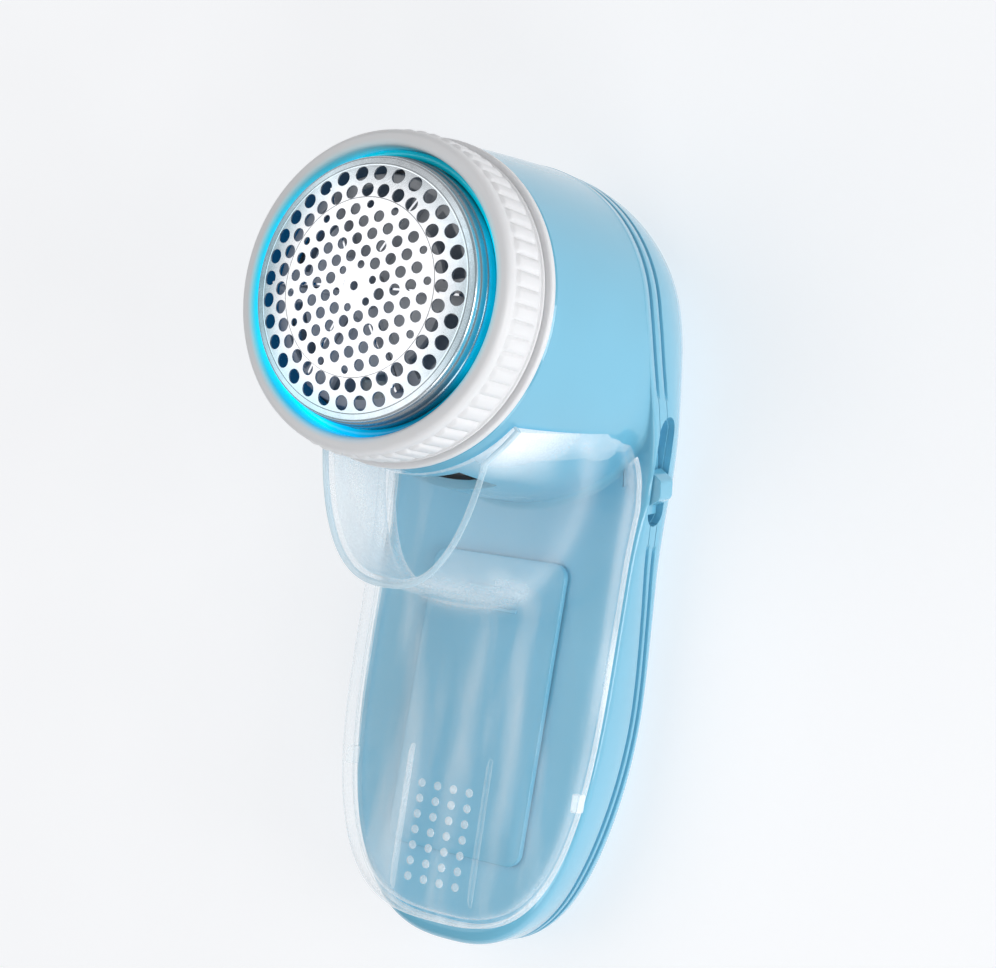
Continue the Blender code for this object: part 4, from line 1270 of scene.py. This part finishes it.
def battery_door(blue):
    """The lid under the collector, with rounded corners and finger ridges."""
    outline = rounded_box(*LID, 3.0, 10)
    levels = ((0.0, 0.0), (1.0, 0.0), (1.25, 0.12), (1.35, 0.4))
    points = []
    for lift, shrink in levels:
        points += [(x, y, panel_z(y) + RIM_GAP + lift) for x, y in inset(outline, shrink)]
    faces = closed_faces(len(outline), len(levels))
    add_mesh("battery_lid", points, faces, blue, "door", ["battery_door"])
    for i, y in enumerate(LID_RIDGES_Y):
        side = [(y, panel_z(y) + 1.6), (y - 0.8, panel_z(y) + 1.6), (y - 0.8, panel_z(y) + 2.05),
                (y, panel_z(y) + 2.05)]
        ridge = prism(f"lid_ridge_{i + 1}", side, -6.0, 6.0, blue, "door", axis="x")
        rounded(ridge, 0.15, 2)


def paddle_outline(low, high, r, steps=12):
    """A strip along the slot that is square at its low end and round at its high end."""
    points = [(low, r), (low, -r)] + corner(high - r, 0.0, r, -90, 90, steps)
    return [slot_point(u, v) for u, v in points]


def switch(blue):
    """The recessed tray, whose rim follows the shell's wall, the flat paddle and the thumb block on it."""
    tray = prism("switch_tray_pocket", slot_outline(-0.1), 24.2, 28.0, blue, "body", ["switch_tray"],
                 axis="x")
    for spot in tray.data.vertices:
        if spot.co.x > 27.9 * MM:
            spot.co.x = lerp(28.2, 30.7, (spot.co.y / MM + 34.0) / 21.6) * MM
    carve(tray, [prism("pocket_tool", slot_outline(-0.35), TRAY_FLOOR_X, 34.0, tool_material(), axis="x")])
    paddle = prism("switch_paddle", paddle_outline(-8.6, 4.6, 2.4), TRAY_FLOOR_X + 0.15, 28.9, blue,
                   "power_slider", ["switch_slider"], axis="x")
    rounded(paddle, 0.25, 3)
    side = [(-6.5, 28.95), (-6.5, 30.0), (-5.3, 31.9), (-4.6, 32.25), (-1.8, 32.25), (-1.2, 31.9),
            (0.5, 29.7), (0.5, 28.95)]
    points = []
    for v in (-2.45, 2.45):
        for u, x in side:
            y, z = slot_point(u, v)
            points.append((x, y, z))
    block = add_mesh("switch_thumb", points, closed_faces(len(side)), blue, "power_slider")
    rounded(block, 0.22, 3)


# ---- hidden CAD nodes

def repaint_hidden(white, grey, bright, dark):
    """Gives the motor, the batteries and the rest of the inside, which keep their CAD shape, a look."""
    lens = clear_plastic("led_lens", (0.75, 0.95, 1.0), 0.35)
    paints = ((bright, ("motor_can", "motor_shaft", "pressure_spring", "contact_spring_1",
                        "contact_spring_2", "contact_plate")),
              (white, ("motor_end_cap", "lint_chute")),
              (grey, ("motor_mount", "drive_dog", "battery_bay")),
              (dark, ("switch_body",)),
              (board_material(), ("circuit_board",)),
              (battery_sleeve(), ("battery_cell_1", "battery_cell_2")),
              (lens, ("glow_led_1", "glow_led_2")))
    for material, nodes in paints:
        for node in nodes:
            slots = frame["nodes"][node].data.materials
            slots.clear()
            slots.append(material)


# ---- studio

def studio():
    """The floor, three soft lights and an even sky."""
    floor = bpy.data.meshes.new("studio_floor")
    half, z = FLOOR_HALF, FLOOR_Z
    corners = [(-half, -half, z), (half, -half, z), (half, half, z), (-half, half, z)]
    floor.from_pydata(corners, [], [(0, 1, 2, 3)])
    floor.materials.append(floor_material())
    ground = bpy.data.objects.new("studio_floor", floor)
    bpy.context.collection.objects.link(ground)
    for light in LIGHTS:
        area_light(*light)
    world = bpy.data.worlds.new("studio")
    world.use_nodes = True
    sky = world.node_tree.nodes["Background"]
    sky.inputs["Color"].default_value = STUDIO_WHITE
    sky.inputs["Strength"].default_value = SKY_STRENGTH
    bpy.context.scene.world = world
    bpy.context.scene.view_settings.view_transform = "Standard"


def area_light(name, at, size, power, colour):
    """A soft rectangular light that faces the object."""
    light = bpy.data.lights.new(name, "AREA")
    light.shape = "RECTANGLE"
    light.size, light.size_y = size
    light.energy = power
    light.color = colour
    lamp = bpy.data.objects.new(name, light)
    bpy.context.collection.objects.link(lamp)
    lamp.location = at
    lamp.rotation_euler = (Vector(LIGHT_AIM) - Vector(at)).to_track_quat("-Z", "Y").to_euler()


def camera():
    """The camera at the viewing angle that was fitted to the head's circles."""
    data = bpy.data.cameras.new("camera")
    data.sensor_width = SENSOR_MM
    data.sensor_fit = "HORIZONTAL"
    data.lens = LENS_MM
    data.clip_start = 0.01
    eye = bpy.data.objects.new("camera", data)
    bpy.context.collection.objects.link(eye)
    back = -Vector(CAMERA_LOOK).normalized()
    right = Vector(CAMERA_UP).cross(back).normalized()
    up = back.cross(right).normalized()
    pose = Matrix((right, up, back)).transposed().to_4x4()
    pose.translation = Vector(CAMERA_AT)
    eye.matrix_world = pose
    bpy.context.scene.camera = eye


def build():
    blue = body_plastic()
    white = ring_plastic()
    grey = plastic("grey_plastic", (0.42, 0.43, 0.45), 0.4)
    dark = plastic("black_plastic", (0.03, 0.03, 0.032), 0.45)
    clear = clear_plastic("clear_plastic")
    bright = steel("bright_steel", (0.72, 0.73, 0.75), 0.25)
    blade_steel = steel("blade_steel", (0.78, 0.79, 0.82), 0.18)
    front_shell(blue)
    seam_band(blue)
    rear_shell(blue, bright)
    head_collar(white)
    lock_ring(white)
    light_ring(light_guide())
    foil_cap(foil_metal())
    cutter(white, blade_steel, grey)
    collector(clear, clear_plastic("clear_painted_highlight", (0.93, 0.97, 0.99), 0.17),
              clear_plastic("clear_painted_dark_edge", (0.50, 0.69, 0.79), 0.30))
    battery_door(blue)
    switch(blue)
    repaint_hidden(white, grey, bright, dark)
    studio()
    camera()


build()
